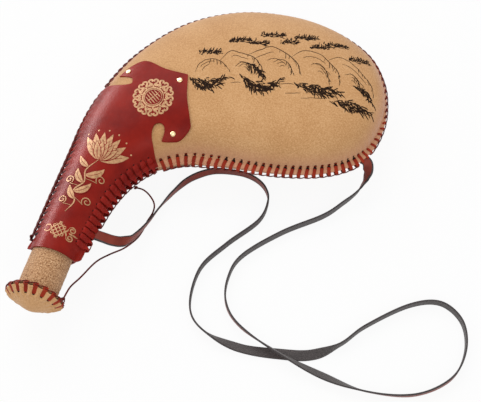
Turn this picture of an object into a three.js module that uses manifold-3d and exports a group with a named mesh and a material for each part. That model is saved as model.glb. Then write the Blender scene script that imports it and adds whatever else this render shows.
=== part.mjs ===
// A laced leather flask on its back: suede panels, a neck sleeve, a spout with a tied stopper and a strap.
// Millimetres, Z up, the neck along -Y, the origin on the flat that the flask rests on.
import * as THREE from "three";
import { mergeVertices } from "three/addons/utils/BufferGeometryUtils.js";
import Module from "manifold-3d";

const solids = await Module();
solids.setup();
const { Manifold, Mesh: SolidMesh } = solids;

// Leather and the clearances between layers
const PANEL_THICKNESS = 1.4;
const SLEEVE_THICKNESS = 1.4;
const WELT_THICKNESS = 1.6;
const WELT_WIDTH = 4.2;
const WELT_SLACK = 0.2;
const FIT = 0.3;
const SEAM_GAP = WELT_THICKNESS / 2 + WELT_SLACK;
const ROUND_SIDES = 26;

// Spout and neck, both round about one level axis
const NECK_X = -127;
const MOUTH_Y = -214;
const SPOUT_RADIUS = 17.8;
const SPOUT_WALL = 2.6;
const SPOUT_LENGTH = 38.5;
const SPOUT_BURIED = 24;
const NECK_RADIUS = SPOUT_RADIUS + FIT + PANEL_THICKNESS;
const SPOUT_END_Y = MOUTH_Y - SPOUT_LENGTH;

// Swell of the two panels above and below the seam
const FRONT_SWELL = 38.5;
const BACK_SWELL = 44;
const BACK_SLOPE = 1.14;
const SEAM_HEIGHT = 38;
const FLANGE_MOUTH = 4;
const FLANGE_BODY = 7.5;
const NECK_ROUNDNESS = 2;
const BODY_ROUNDNESS = 2.8;
const NECK_STATION = 1;
const SHOULDER_STATION = 4;
const BODY_STATION = 5;

// Room between the round neck and the seam edge, from the mouth up, on the left and on the right
const NECK_ROOM_LEFT = [FLANGE_MOUTH, 3.9, 3.2];
const NECK_ROOM_RIGHT = [FLANGE_MOUTH, 11.2, 23.5];

// Seam edge of both panels, from the mouth to the far end, up the left side and up the right side
const SEAM_LEFT = [
  [NECK_X - NECK_RADIUS - NECK_ROOM_LEFT[0], MOUTH_Y],
  [NECK_X - NECK_RADIUS - NECK_ROOM_LEFT[1], -158],
  [NECK_X - NECK_RADIUS - NECK_ROOM_LEFT[2], -118],
  [-148.7, -86],
  [-143, -44.6],
  [-127, 0],
  [-94.5, 45],
  [-50.5, 73.2],
  [-2, 84],
  [43, 80.5],
  [79.6, 65.2],
  [101, 40.8],
];
const SEAM_END = [111.3, 13.4];
const SEAM_RIGHT = [
  [NECK_X + NECK_RADIUS + NECK_ROOM_RIGHT[0], MOUTH_Y],
  [NECK_X + NECK_RADIUS + NECK_ROOM_RIGHT[1], -157],
  [NECK_X + NECK_RADIUS + NECK_ROOM_RIGHT[2], -125],
  [-67.5, -106.5],
  [-46.6, -93.8],
  [-21.2, -88.4],
  [7.7, -84.8],
  [39.5, -79.3],
  [71.1, -69.4],
  [94.5, -54.8],
  [107.9, -37],
  [113.4, -12],
];
const STATIONS = SEAM_LEFT.length;
const ROWS = 24;
const COLUMNS = 12;
const END_STATIONS = [0.15, 0.1, 0.05].map((left) => STATIONS - left);

// Cloud-shaped upper edge of the sleeve, seen from above: smooth stretches that meet at sharp tips
const SLEEVE_EDGE = [
  [[-128, -50], [-114.5, -48], [-113.5, -44], [-116.5, -40.5], [-128.5, -39]],
  [[-121, -27.5], [-109, -20.5], [-88, -26.3], [-66, -27.5]],
  [[-60, -48], [-51, -67], [-48.4, -74.5], [-54, -84], [-62.5, -88.5], [-69.5, -91]],
  [[-69.2, -84], [-71.5, -79], [-75.6, -78], [-79.5, -81.5], [-79, -90], [-72.6, -102.1]],
];
const SLEEVE_EDGE_START = [-162, -47];
const SLEEVE_TRIM_ROOM = 20;
const SLEEVE_TRIM_Y = MOUTH_Y - SLEEVE_TRIM_ROOM;
const SLEEVE_EDGE_FINISH = [[-64, -112], [-64, SLEEVE_TRIM_Y], [-162, SLEEVE_TRIM_Y]];
const SLEEVE_LAST_STATION = 6;
const PANEL_TUCK = 4;

// Rivets of the front sleeve: station along the flask and share across it
const RIVETS = { left: [4.41, -0.78], apex: [5.16, -0.08], right: [3.9, 0.74] };
const RIVET_HEAD_RADIUS = 2.6;
const RIVET_HEAD_HEIGHT = 1.2;
const RIVET_POST_RADIUS = 1;
const RIVET_SIDES = 12;
const BURR_RADIUS = 2.2;
const BURR_THICKNESS = 0.8;
const BURR_SLACK = 1;

// Inner flask
const LINER_GAP = BURR_SLACK + BURR_THICKNESS + 2 * FIT;
const LINER_WALL = 1.6;
const LINER_SIDES = 16;
const LINER_STATIONS = [1, 1.5, 2, 2.5, 3, 3.5, 4, 4.5, 5, 6, 7, 8, 9, 10, 10.5, 11];
const LINER_END_STATION = 11.5;
const LINER_NECK_RADIUS = SPOUT_RADIUS - SPOUT_WALL - FIT;
const BORE_RADIUS = LINER_NECK_RADIUS - LINER_WALL;

// Lacing
const LACE_THICKNESS = 1;
const CHAIN_SIZE = 1.6;
const CHAIN_OFFSET = 0.7;
const BODY_STITCH = { pitch: 6.9, width: 2.8 };
const NECK_STITCH = { pitch: 6.9, width: 4.8 };
const SLEEVE_TOP_LEFT = 3.86;
const SLEEVE_TOP_RIGHT = 2.9;
const LACE_START_STATION = 0.06;
const LACE_JUMP = 0.12;
const LACE_ROOM = 1;
const SEAM_SAMPLES = 240;

// Strap, with the stations where its two ends go into the right-hand seam
const STRAP_WIDTH = 9.5;
const STRAP_THICKNESS = WELT_THICKNESS;
const STRAP_NECK_STATION = 0.48;
const STRAP_BODY_STATION = 9.75;
const STRAP_STEPS = 92;

// Strap route: x, y, z and the roll in degrees, which is 0 with the grey face up and 90 with it to the right
const STRAP_ROUTE = [
  [-105, -184.7, 38, -180],
  [-98.3, -185.4, 37.9, -180],
  [-91, -185.4, 37, -175],
  [-84, -184.6, 34.2, -160],
  [-77, -181, 28.8, -135],
  [-71.5, -172.5, 20.8, -110],
  [-68, -158.5, 12.8, -95],
  [-65, -144.5, 7.6, -90],
  [-61.5, -129, 5.4, -90],
  [-55.5, -112.5, 5.1, -90],
  [-47.5, -97, 5.1, -90],
  [-38, -86.5, 5.1, -90],
  [-26, -78.5, 5.1, -90],
  [-12, -74.8, 5.1, -90],
  [2, -73.2, 5.1, -90],
  [15, -75.6, 5.1, -90],
  [25.5, -82.5, 5.1, -90],
  [31, -94, 5.1, -90],
  [28.5, -115, 5.1, -90],
  [8, -146, 5.1, -90],
  [-7, -176, 5.1, -90],
  [-4, -212, 5.1, -90],
  [14, -229, 5.1, -75],
  [48, -234, 2.8, -25],
  [84, -228, 1.1, 0],
  [110, -221, 3, 35],
  [131, -205, 5.1, 90],
  [147, -183, 5.1, 90],
  [178, -153, 5.1, 90],
  [204, -142, 5.1, 90],
  [226, -153, 5.1, 90],
  [235, -178, 5.1, 90],
  [229, -206, 5.1, 90],
  [203, -229, 5.1, 84],
  [164, -238.5, 5.1, 74],
  [124, -237, 5.6, 40],
  [80, -229, 7.8, 68],
  [43, -216, 6.5, 84],
  [25, -199, 5.1, 90],
  [19.5, -176, 5.1, 90],
  [25, -152, 5.1, 90],
  [52, -119.5, 5.1, 90],
  [83, -93, 6.5, 90],
  [97, -76, 9.5, 92],
  [105.5, -64.5, 13, 98],
  [109.5, -56, 18.5, 112],
  [110.8, -50.5, 24.5, 132],
  [110.6, -47.3, 31.5, 160],
  [108.9, -44.6, 36.8, 178],
  [105.4, -42.1, 38, 180],
  [100.3, -39.1, 38, 180],
];

// Stopper: a plug in the spout under a laced cap
const PLUG_LENGTH = 30;
const PLUG_COLLAR = 3;
const SEAL_LENGTH = 22;
const SEAL_WALL = 2.3;
const SEAL_RADIUS = BORE_RADIUS - FIT;
const PLUG_RADIUS = SEAL_RADIUS - SEAL_WALL - FIT;
const CAP_OVERHANG = 7.4;
const CAP_RADIUS = SPOUT_RADIUS + CAP_OVERHANG;
const CAP_HEAD_OVERHANG = 2.2;
const CAP_HEAD_RADIUS = SPOUT_RADIUS + CAP_HEAD_OVERHANG;
const CAP_DOME = 13;
const CAP_THICKNESS = 1.4;
const CAP_STITCHES = 18;
const CAP_LACE_ROOM = 2;
const DOME_STEPS = 6;
const DOME_SHAPE = 0.8;
const CAP_STITCH_WIDTH = 3.4;

// Tether from the cap's rim to the neck lacing, with a knot at each end
const TETHER_RADIUS = 0.75;
const KNOT_RADIUS = 1.7;
const TETHER_ROUTE = [
  [-99.9, -252.5, 50.1],
  [-99.8, -239.8, 44.5],
  [-97.2, -226, 35.5],
  [-93, -204, 23],
  [-86.5, -190, 13.5],
  [-78, -178, 7],
  [-71.5, -165, 3.4],
  [-69, -155, 2.4],
  [-68.2, -145, 2.4],
  [-66.2, -136.5, 3.5],
  [-65.6, -131.5, 8.5],
  [-67.5, -128.5, 14],
  [-72.2, -126.6, 21.5],
  [-76.6, -127.4, 29],
  [-80.6, -130.6, 36.2],
];
const TETHER_STEPS = 56;
const TETHER_SIDES = 8;

const SUEDE = new THREE.MeshStandardMaterial({ color: 0xc49a64, roughness: 0.95 });
const SPOUT_SUEDE = new THREE.MeshStandardMaterial({ color: 0xbe9160, roughness: 1 });
const RED_LEATHER = new THREE.MeshStandardMaterial({ color: 0x912621, roughness: 0.5 });
const LACE = new THREE.MeshStandardMaterial({ color: 0x8a2420, roughness: 0.6 });
const STRAP_LEATHER = new THREE.MeshStandardMaterial({ color: 0x963f36, roughness: 0.6 });
const BRASS = new THREE.MeshStandardMaterial({ color: 0xd8b15c, roughness: 0.3, metalness: 1 });
const WOOD = new THREE.MeshStandardMaterial({ color: 0xa87b4b, roughness: 0.7 });
const CORK = new THREE.MeshStandardMaterial({ color: 0xb08a5c, roughness: 0.9 });
const PLASTIC = new THREE.MeshStandardMaterial({ color: 0xe4e0d4, roughness: 0.5 });

const group = new THREE.Group();
group.name = "laced_flask";

function add(name, geometry, material) {
  const mesh = new THREE.Mesh(geometry, material);
  mesh.name = name;
  group.add(mesh);
}

// Joins equal vertices, drops flat triangles and turns the faces outwards
function closed(geometry) {
  const bare = new THREE.BufferGeometry().setAttribute("position", geometry.getAttribute("position"));
  bare.setIndex(geometry.index);
  const welded = mergeVertices(bare, 1e-3);
  const index = welded.index.array;
  const at = (i) => new THREE.Vector3().fromBufferAttribute(welded.attributes.position, i);
  const kept = [];
  let volume = 0;
  for (let i = 0; i < index.length; i += 3) {
    const [a, b, c] = [index[i], index[i + 1], index[i + 2]];
    if (a === b || b === c || c === a) continue;
    kept.push(a, b, c);
    volume += at(a).dot(at(b).cross(at(c)));
  }
  if (volume < 0) kept.reverse();
  welded.setIndex(kept);
  return welded;
}

function toSolid(geometry) {
  const mesh = closed(geometry);
  return new Manifold(
    new SolidMesh({
      numProp: 3,
      vertProperties: new Float32Array(mesh.attributes.position.array),
      triVerts: new Uint32Array(mesh.index.array),
    }),
  );
}

function fromSolid(solid) {
  const mesh = solid.getMesh();
  const geometry = new THREE.BufferGeometry();
  geometry.setAttribute("position", new THREE.BufferAttribute(new Float32Array(mesh.vertProperties), 3));
  geometry.setIndex(new THREE.BufferAttribute(new Uint32Array(mesh.triVerts), 1));
  return geometry;
}

// A mesh put together from points and four-sided faces
class Faces {
  constructor() {
    this.points = [];
    this.index = [];
  }
  point(v) {
    this.points.push(v.x, v.y, v.z);
    return this.points.length / 3 - 1;
  }
  quad(a, b, c, d) {
    this.index.push(a, b, c, a, c, d);
  }
  geometry() {
    const geometry = new THREE.BufferGeometry();
    geometry.setAttribute("position", new THREE.Float32BufferAttribute(this.points, 3));
    geometry.setIndex(this.index);
    return closed(geometry);
  }
}

// Small step for measuring the direction of a curve or surface
const NUDGE = 0.01;

const smooth = (x, low, high) => THREE.MathUtils.smoothstep(x, low, high);
const mix = THREE.MathUtils.lerp;

// The seam as one curve, left mouth to right mouth; a station counts the pairs of points from the mouth
const flat = ([x, y]) => new THREE.Vector3(x, y, 0);
const seam = new THREE.CatmullRomCurve3(
  [...SEAM_LEFT, SEAM_END, ...[...SEAM_RIGHT].reverse()].map(flat),
  false,
  "catmullrom",
  0.5,
);
const leftAt = (station) => station / (2 * STATIONS);
const rightAt = (station) => 1 - station / (2 * STATIONS);
const stationOf = (t) => Math.min(t, 1 - t) * 2 * STATIONS;

function inward(t) {
  const tangent = seam.getTangent(t);
  return new THREE.Vector3(tangent.y, -tangent.x, 0);
}

const flange = (t) => mix(FLANGE_MOUTH, FLANGE_BODY, smooth(stationOf(t), NECK_STATION, SHOULDER_STATION));
const foot = (t) => seam.getPoint(t).addScaledVector(inward(t), flange(t));

// One chord across the flask: its middle, its half as a vector and the half's length
function chord(station) {
  const left = foot(leftAt(station));
  const right = foot(rightAt(station));
  const half = right.clone().sub(left).multiplyScalar(0.5);
  return { middle: left.clone().add(half), half, reach: half.length() };
}

let widest = 0;
for (let station = 0; station < STATIONS; station += 0.1) widest = Math.max(widest, chord(station).reach);

// Height of a panel over or under the seam, which grows with the chord from the neck to the full swell
const frontSlope = Math.log(FRONT_SWELL / NECK_RADIUS) / Math.log(widest / NECK_RADIUS);
function swellAt(reach, side) {
  const share = reach / NECK_RADIUS;
  if (side > 0) return NECK_RADIUS * share ** frontSlope;
  return Math.min(NECK_RADIUS * share ** BACK_SLOPE, BACK_SWELL);
}

const roundnessAt = (station) =>
  mix(NECK_ROUNDNESS, BODY_ROUNDNESS, smooth(station, NECK_STATION, BODY_STATION));

// Lowest level of the back panel: flat on the table, and lifted where the sleeve lies under it
const sleeveLayer = FIT + SLEEVE_THICKNESS;
const backFloor = (station) =>
  sleeveLayer * (1 - smooth(station, SLEEVE_LAST_STATION, SLEEVE_LAST_STATION + STATIONS / ROWS));

// A point of a layer that lies grow outside the panels' outer faces; side is 1 in front and -1 behind
function layerPoint(station, angle, side, grow, ledge) {
  const { middle, half, reach } = chord(station);
  const power = 2 / roundnessAt(station);
  const across = -Math.sign(Math.cos(angle)) * Math.abs(Math.cos(angle)) ** power;
  const up = Math.abs(Math.sin(angle)) ** power;
  const height = (swellAt(reach, side) + grow) * up;
  const limit = side > 0 ? Infinity : SEAM_HEIGHT - backFloor(station) + grow;
  const point = middle.clone().addScaledVector(half, (across * (reach + grow)) / reach);
  point.z = SEAM_HEIGHT + side * Math.min(Math.max(height, ledge), limit);
  return point;
}

// One row of a layer, from the left seam edge to the right one
function layerRow(station, side, grow, ledge) {
  const level = SEAM_HEIGHT + side * ledge;
  const row = [seam.getPoint(leftAt(station)).setZ(level)];
  for (let i = 0; i <= COLUMNS; i++) {
    row.push(layerPoint(station, (Math.PI * i) / COLUMNS, side, grow, ledge));
  }
  row.push(seam.getPoint(rightAt(station)).setZ(level));
  return row;
}

// The two rows that close a panel at the far end: the foot of its swell, then the edge of the flange
function endRows(side, grow, ledge) {
  const level = SEAM_HEIGHT + side * ledge;
  const between = (left, right, count) =>
    Array.from({ length: count }, (_, i) => left.clone().lerp(right, i / (count - 1)).setZ(level));
  const [, footStation, edgeStation] = END_STATIONS;
  const { middle, half, reach } = chord(footStation);
  const wide = half.multiplyScalar((reach + grow) / reach);
  const edge = (station) => [leftAt(station), rightAt(station)].map((t) => seam.getPoint(t).setZ(level));
  const [left, right] = edge(footStation);
  const footing = between(middle.clone().sub(wide), middle.clone().add(wide), COLUMNS + 1);
  return [[left, ...footing, right], between(...edge(edgeStation), COLUMNS + 3)];
}

// A closed skin between two grids of points
function skin(outer, inner) {
  const faces = new Faces();
  const a = outer.map((row) => row.map((v) => faces.point(v)));
  const b = inner.map((row) => row.map((v) => faces.point(v)));
  const last = a.length - 1;
  const side = a[0].length - 1;
  for (let i = 0; i < last; i++) {
    for (let j = 0; j < side; j++) {
      faces.quad(a[i][j], a[i][j + 1], a[i + 1][j + 1], a[i + 1][j]);
      faces.quad(b[i][j], b[i + 1][j], b[i + 1][j + 1], b[i][j + 1]);
    }
    faces.quad(a[i][0], a[i + 1][0], b[i + 1][0], b[i][0]);
    faces.quad(a[i][side], b[i][side], b[i + 1][side], a[i + 1][side]);
  }
  for (let j = 0; j < side; j++) {
    faces.quad(a[0][j], b[0][j], b[0][j + 1], a[0][j + 1]);
    faces.quad(a[last][j], a[last][j + 1], b[last][j + 1], b[last][j]);
  }
  return faces.geometry();
}

const stations = Array.from({ length: ROWS }, (_, i) => (STATIONS * i) / ROWS);
const panelLedge = SEAM_GAP + PANEL_THICKNESS;
const sleeveLedge = panelLedge + sleeveLayer;
const panelStart = PANEL_TUCK / (SEAM_LEFT[1][1] - SEAM_LEFT[0][1]);

function panel(side) {
  const rows = [panelStart, ...stations.slice(1), END_STATIONS[0]];
  const outer = rows.map((s) => layerRow(s, side, 0, panelLedge));
  const inner = rows.map((s) => layerRow(s, side, -PANEL_THICKNESS, SEAM_GAP));
  outer.push(...endRows(side, 0, panelLedge));
  inner.push(...endRows(side, -PANEL_THICKNESS, SEAM_GAP));
  return skin(outer, inner);
}

// The sleeve follows the panel and is trimmed to its cloud-shaped edge
function sleeve(side) {
  const rows = stations.filter((s) => s < SLEEVE_LAST_STATION + STATIONS / ROWS);
  const outer = rows.map((s) => layerRow(s, side, sleeveLayer, sleeveLedge));
  const inner = rows.map((s) => layerRow(s, side, FIT, panelLedge + FIT));
  const edge = new THREE.Shape();
  edge.moveTo(...SLEEVE_EDGE_START);
  for (const stretch of SLEEVE_EDGE) {
    edge.splineThru(stretch.map(([x, y]) => new THREE.Vector2(x, y)));
  }
  for (const corner of SLEEVE_EDGE_FINISH) edge.lineTo(...corner);
  edge.closePath();
  const through = { depth: 3 * SEAM_HEIGHT, bevelEnabled: false, curveSegments: 3 };
  const trim = new THREE.ExtrudeGeometry(edge, through);
  trim.translate(0, 0, -SEAM_HEIGHT / 2);
  return toSolid(skin(outer, inner)).intersect(toSolid(trim));
}

// Rivets, each along the normal of the sleeve's outer face
function rivetFrame([station, across]) {
  const angle = Math.acos(-Math.sign(across) * Math.abs(across) ** (roundnessAt(station) / 2));
  const at = (s, a) => layerPoint(s, a, 1, sleeveLayer, sleeveLedge);
  const point = at(station, angle);
  const along = at(station + NUDGE, angle).sub(at(station - NUDGE, angle));
  const over = at(station, angle + NUDGE).sub(at(station, angle - NUDGE));
  const normal = over.cross(along).normalize();
  const turn = new THREE.Quaternion().setFromUnitVectors(new THREE.Vector3(0, 1, 0), normal);
  return new THREE.Matrix4().compose(point, turn, new THREE.Vector3(1, 1, 1));
}

function lathe(profile, sides) {
  const points = profile.map(([r, y]) => new THREE.Vector2(r, y));
  return closed(new THREE.LatheGeometry(points, sides));
}

const gripDepth = SLEEVE_THICKNESS + FIT + PANEL_THICKNESS + BURR_SLACK;
const rivetProfile = [
  [0, FIT + RIVET_HEAD_HEIGHT],
  [RIVET_HEAD_RADIUS * 0.7, FIT + RIVET_HEAD_HEIGHT * 0.75],
  [RIVET_HEAD_RADIUS, FIT],
  [RIVET_POST_RADIUS, FIT],
  [RIVET_POST_RADIUS, -gripDepth - BURR_THICKNESS],
  [0, -gripDepth - BURR_THICKNESS],
];
const burrProfile = [
  [RIVET_POST_RADIUS + FIT, -gripDepth],
  [BURR_RADIUS, -gripDepth],
  [BURR_RADIUS, -gripDepth - BURR_THICKNESS],
  [RIVET_POST_RADIUS + FIT, -gripDepth - BURR_THICKNESS],
  [RIVET_POST_RADIUS + FIT, -gripDepth],
];
const rivetFrames = Object.entries(RIVETS).map(([name, place]) => [name, rivetFrame(place)]);
const drills = rivetFrames.map(([, frame]) => {
  const radius = RIVET_POST_RADIUS + FIT;
  const drill = new THREE.CylinderGeometry(radius, radius, 4 * gripDepth, RIVET_SIDES);
  return toSolid(drill.applyMatrix4(frame));
});
const drilled = (solid) => fromSolid(drills.reduce((left, drill) => left.subtract(drill), solid));

add("front_panel", drilled(toSolid(panel(1))), SUEDE);
add("back_panel", panel(-1), SUEDE);
add("neck_sleeve_front", drilled(sleeve(1)), RED_LEATHER);
add("neck_sleeve_back", fromSolid(sleeve(-1)), RED_LEATHER);
for (const [name, frame] of rivetFrames) {
  add(`rivet_${name}`, lathe(rivetProfile, RIVET_SIDES).applyMatrix4(frame), BRASS);
  add(`rivet_burr_${name}`, lathe(burrProfile, RIVET_SIDES).applyMatrix4(frame), BRASS);
}

// Inner flask: a stiff nozzle, and a pouch whose rings run from the nozzle into the panels' own sections
function linerRing(station, shrink) {
  const { middle, half, reach } = chord(station);
  const spread = smooth(station, NECK_STATION, SHOULDER_STATION);
  const inset = PANEL_THICKNESS + LINER_GAP;
  const axis = new THREE.Vector3(NECK_X, middle.y, 0);
  const centre = axis.lerp(middle, smooth(station, 0, 2 * NECK_STATION));
  const width = mix(LINER_NECK_RADIUS, reach - inset, spread) - shrink;
  const power = 2 / roundnessAt(station);
  return Array.from({ length: LINER_SIDES }, (_, i) => {
    const angle = (2 * Math.PI * i) / LINER_SIDES;
    const side = Math.sin(angle) < 0 ? -1 : 1;
    const full = swellAt(reach, side) - inset;
    const limit = side > 0 ? Infinity : SEAM_HEIGHT - backFloor(station) - inset - shrink;
    const height = mix(LINER_NECK_RADIUS, full, spread) - shrink;
    const across = -Math.sign(Math.cos(angle)) * Math.abs(Math.cos(angle)) ** power;
    const point = centre.clone().addScaledVector(half, (across * width) / reach);
    return point.setZ(SEAM_HEIGHT + side * Math.min(height * Math.abs(Math.sin(angle)) ** power, limit));
  });
}

const levelRing = (y, radius) =>
  Array.from({ length: LINER_SIDES }, (_, i) => {
    const angle = (2 * Math.PI * i) / LINER_SIDES;
    return new THREE.Vector3(NECK_X - radius * Math.cos(angle), y, SEAM_HEIGHT + radius * Math.sin(angle));
  });

// A closed shell between two stacks of rings, open at its first ring, and at its last one unless it is capped
function ringShell(outer, inner, capped) {
  const faces = new Faces();
  const a = outer.map((ring) => ring.map((v) => faces.point(v)));
  const b = inner.map((ring) => ring.map((v) => faces.point(v)));
  const wall = (rings, flip) => {
    for (let i = 0; i + 1 < rings.length; i++) {
      for (let j = 0; j < LINER_SIDES; j++) {
        const k = (j + 1) % LINER_SIDES;
        const quad = [rings[i][j], rings[i][k], rings[i + 1][k], rings[i + 1][j]];
        faces.quad(...(flip ? quad.reverse() : quad));
      }
    }
  };
  const cap = (ring, flip) => {
    for (let j = 0; j < LINER_SIDES / 2 - 1; j++) {
      const quad = [ring[j], ring[j + 1], ring[LINER_SIDES - 2 - j], ring[LINER_SIDES - 1 - j]];
      faces.quad(...(flip ? quad.reverse() : quad));
    }
  };
  const lip = (p, q) => {
    for (let j = 0; j < LINER_SIDES; j++) {
      const k = (j + 1) % LINER_SIDES;
      faces.quad(p[k], p[j], q[j], q[k]);
    }
  };
  wall(a, false);
  wall(b, true);
  lip(a[0], b[0]);
  if (capped) {
    cap(a.at(-1), false);
    cap(b.at(-1), true);
  } else {
    lip(b.at(-1), a.at(-1));
  }
  return faces.geometry();
}

const throat = MOUTH_Y + SPOUT_BURIED + FIT;
const nozzleEnd = NECK_STATION - FIT / (SEAM_LEFT[1][1] - SEAM_LEFT[0][1]);
const nozzleRings = (radius, shrink) => [
  levelRing(SPOUT_END_Y, radius),
  levelRing(throat, radius),
  linerRing(nozzleEnd, shrink),
];
const nozzle = ringShell(nozzleRings(LINER_NECK_RADIUS, 0), nozzleRings(BORE_RADIUS, LINER_WALL), false);
add("liner_nozzle", nozzle, PLASTIC);

const pouchOuter = [...LINER_STATIONS, LINER_END_STATION].map((s) => linerRing(s, 0));
const pouchInner = LINER_STATIONS.map((s) => linerRing(s, LINER_WALL));
add("liner_flask", ringShell(pouchOuter, pouchInner, true), PLASTIC);

const onAxis = (geometry) => geometry.translate(NECK_X, 0, SEAM_HEIGHT);
const spoutProfile = [
  [SPOUT_RADIUS - SPOUT_WALL, SPOUT_END_Y],
  [SPOUT_RADIUS, SPOUT_END_Y],
  [SPOUT_RADIUS, MOUTH_Y + SPOUT_BURIED],
  [SPOUT_RADIUS - SPOUT_WALL, MOUTH_Y + SPOUT_BURIED],
  [SPOUT_RADIUS - SPOUT_WALL, SPOUT_END_Y],
];
add("spout_wrap", onAxis(lathe(spoutProfile, ROUND_SIDES)), SPOUT_SUEDE);

// Stations spaced evenly along the seam between two places on its curve
function evenly(from, to, pitch) {
  const samples = Array.from({ length: SEAM_SAMPLES + 1 }, (_, i) => mix(from, to, i / SEAM_SAMPLES));
  const lengths = [0];
  for (let i = 1; i < samples.length; i++) {
    lengths.push(lengths[i - 1] + seam.getPoint(samples[i]).distanceTo(seam.getPoint(samples[i - 1])));
  }
  const count = Math.max(1, Math.round(lengths.at(-1) / pitch));
  return Array.from({ length: count }, (_, n) => {
    const want = (lengths.at(-1) * (n + 0.5)) / count;
    return samples[lengths.findIndex((length) => length >= want)];
  });
}

// A place on the seam moved along it by a length in millimetres
function along(t, length) {
  const step = NUDGE / STATIONS;
  const speed = seam.getPoint(t + step).distanceTo(seam.getPoint(t - step)) / (2 * step);
  return t + length / speed;
}

// Lacing as one body: a clip around the edge at each stitch, joined by the cord that runs along the edge
function lacing(places, width, ring) {
  const faces = new Faces();
  const clips = places.map((place) => {
    const { point, out, run, up, above, below, depthAbove, depthBelow } = place;
    const [e, f, m] = [CHAIN_OFFSET, CHAIN_OFFSET + CHAIN_SIZE, CHAIN_SIZE / 2];
    const profile = [
      [-depthAbove, above + LACE_THICKNESS],
      [e, above + LACE_THICKNESS],
      [f, m],
      [f, -m],
      [e, -below - LACE_THICKNESS],
      [-depthBelow, -below - LACE_THICKNESS],
      [-depthBelow, -below],
      [e, -below],
      [e, -m],
      [e, m],
      [e, above],
      [-depthAbove, above],
    ];
    return [-0.5, 0.5].map((share) =>
      profile.map(([r, z]) =>
        faces.point(
          point.clone().addScaledVector(out, r).addScaledVector(up, z).addScaledVector(run, share * width),
        ),
      ),
    );
  });
  const cheeks = [[0, 1, 10, 11], [1, 2, 9, 10], [3, 4, 7, 8], [4, 5, 6, 7]];
  const core = [2, 3, 8, 9];
  for (const [near, far] of clips) {
    near.forEach((corner, i) => {
      const next = (i + 1) % near.length;
      faces.quad(corner, near[next], far[next], far[i]);
    });
    for (const cheek of cheeks) {
      faces.quad(...cheek.map((i) => far[i]));
      faces.quad(...cheek.map((i) => near[i]).reverse());
    }
  }
  clips.forEach(([, far], n) => {
    if (n + 1 === clips.length && !ring) return;
    const [near] = clips[(n + 1) % clips.length];
    core.forEach((from, i) => {
      const to = core[(i + 1) % core.length];
      faces.quad(far[from], far[to], near[to], near[from]);
    });
  });
  if (!ring) {
    faces.quad(...core.map((i) => clips.at(-1)[1][i]));
    faces.quad(...core.map((i) => clips[0][0][i]).reverse());
  }
  return faces.geometry();
}

function seamLacing(from, to, stitch, ledge, layer) {
  const places = evenly(from, to, stitch.pitch).map((t) => {
    const depth = flange(t) - layer - 2 * FIT;
    return {
      point: seam.getPoint(t).setZ(SEAM_HEIGHT),
      out: inward(t).negate(),
      run: seam.getTangent(t),
      up: new THREE.Vector3(0, 0, 1),
      above: ledge + FIT,
      below: ledge + FIT,
      depthAbove: depth,
      depthBelow: depth,
    };
  });
  return lacing(places, stitch.width, false);
}

const strapAtNeck = rightAt(STRAP_NECK_STATION);
const strapAtBody = rightAt(STRAP_BODY_STATION);
const strapRoom = STRAP_WIDTH / 2 + LACE_ROOM;
const sleeveLacing = (from, to) => seamLacing(from, to, NECK_STITCH, sleeveLedge, sleeveLayer);
const bodyLacing = (from, to) => seamLacing(from, to, BODY_STITCH, panelLedge, 0);
add("lace_neck_left", sleeveLacing(leftAt(LACE_START_STATION), leftAt(SLEEVE_TOP_LEFT)), LACE);
add("lace_crown", bodyLacing(leftAt(SLEEVE_TOP_LEFT + LACE_JUMP), along(strapAtBody, -strapRoom)), LACE);
add("lace_belly", bodyLacing(along(strapAtBody, strapRoom), rightAt(SLEEVE_TOP_RIGHT + LACE_JUMP)), LACE);
add("lace_neck_right", sleeveLacing(rightAt(SLEEVE_TOP_RIGHT), along(strapAtNeck, -strapRoom)), LACE);
add("lace_mouth", sleeveLacing(along(strapAtNeck, strapRoom), rightAt(LACE_START_STATION)), LACE);

// Welt strips between the panels' edges, with room left for the strap's ends
function welt(from, to) {
  const steps = Math.ceil(Math.abs(to - from) * 2 * ROWS);
  const ts = Array.from({ length: steps + 1 }, (_, i) => mix(from, to, i / steps));
  const line = (inset) => ts.map((t) => seam.getPoint(t).addScaledVector(inward(t), inset));
  const outline = [...line(FIT), ...line(WELT_WIDTH).reverse()].map((v) => new THREE.Vector2(v.x, v.y));
  const shape = new THREE.Shape(outline);
  const strip = new THREE.ExtrudeGeometry(shape, { depth: WELT_THICKNESS, bevelEnabled: false });
  return closed(strip.translate(0, 0, SEAM_HEIGHT - WELT_THICKNESS / 2));
}

const weltRoom = STRAP_WIDTH / 2 + 3 * FIT;
add("welt_crown", welt(leftAt(panelStart), along(strapAtBody, -weltRoom)), RED_LEATHER);
add("welt_belly", welt(along(strapAtBody, weltRoom), along(strapAtNeck, -weltRoom)), RED_LEATHER);
add("welt_mouth", welt(along(strapAtNeck, weltRoom), rightAt(panelStart)), RED_LEATHER);

// A bar of constant section swept along rings of points
function swept(rings) {
  const faces = new Faces();
  const ids = rings.map((ring) => ring.map((v) => faces.point(v)));
  const sides = ids[0].length;
  for (let i = 0; i + 1 < ids.length; i++) {
    for (let j = 0; j < sides; j++) {
      const k = (j + 1) % sides;
      faces.quad(ids[i][j], ids[i][k], ids[i + 1][k], ids[i + 1][j]);
    }
  }
  for (const [ring, flip] of [[ids[0], true], [ids.at(-1), false]]) {
    for (let j = 0; j + 1 < sides / 2; j++) {
      const quad = [ring[j], ring[j + 1], ring[sides - 2 - j], ring[sides - 1 - j]];
      faces.quad(...(flip ? quad.reverse() : quad));
    }
  }
  return faces.geometry();
}

const routeCurve = (route) =>
  new THREE.CatmullRomCurve3(route.map(([x, y, z]) => new THREE.Vector3(x, y, z)), false, "catmullrom", 0.5);

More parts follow.
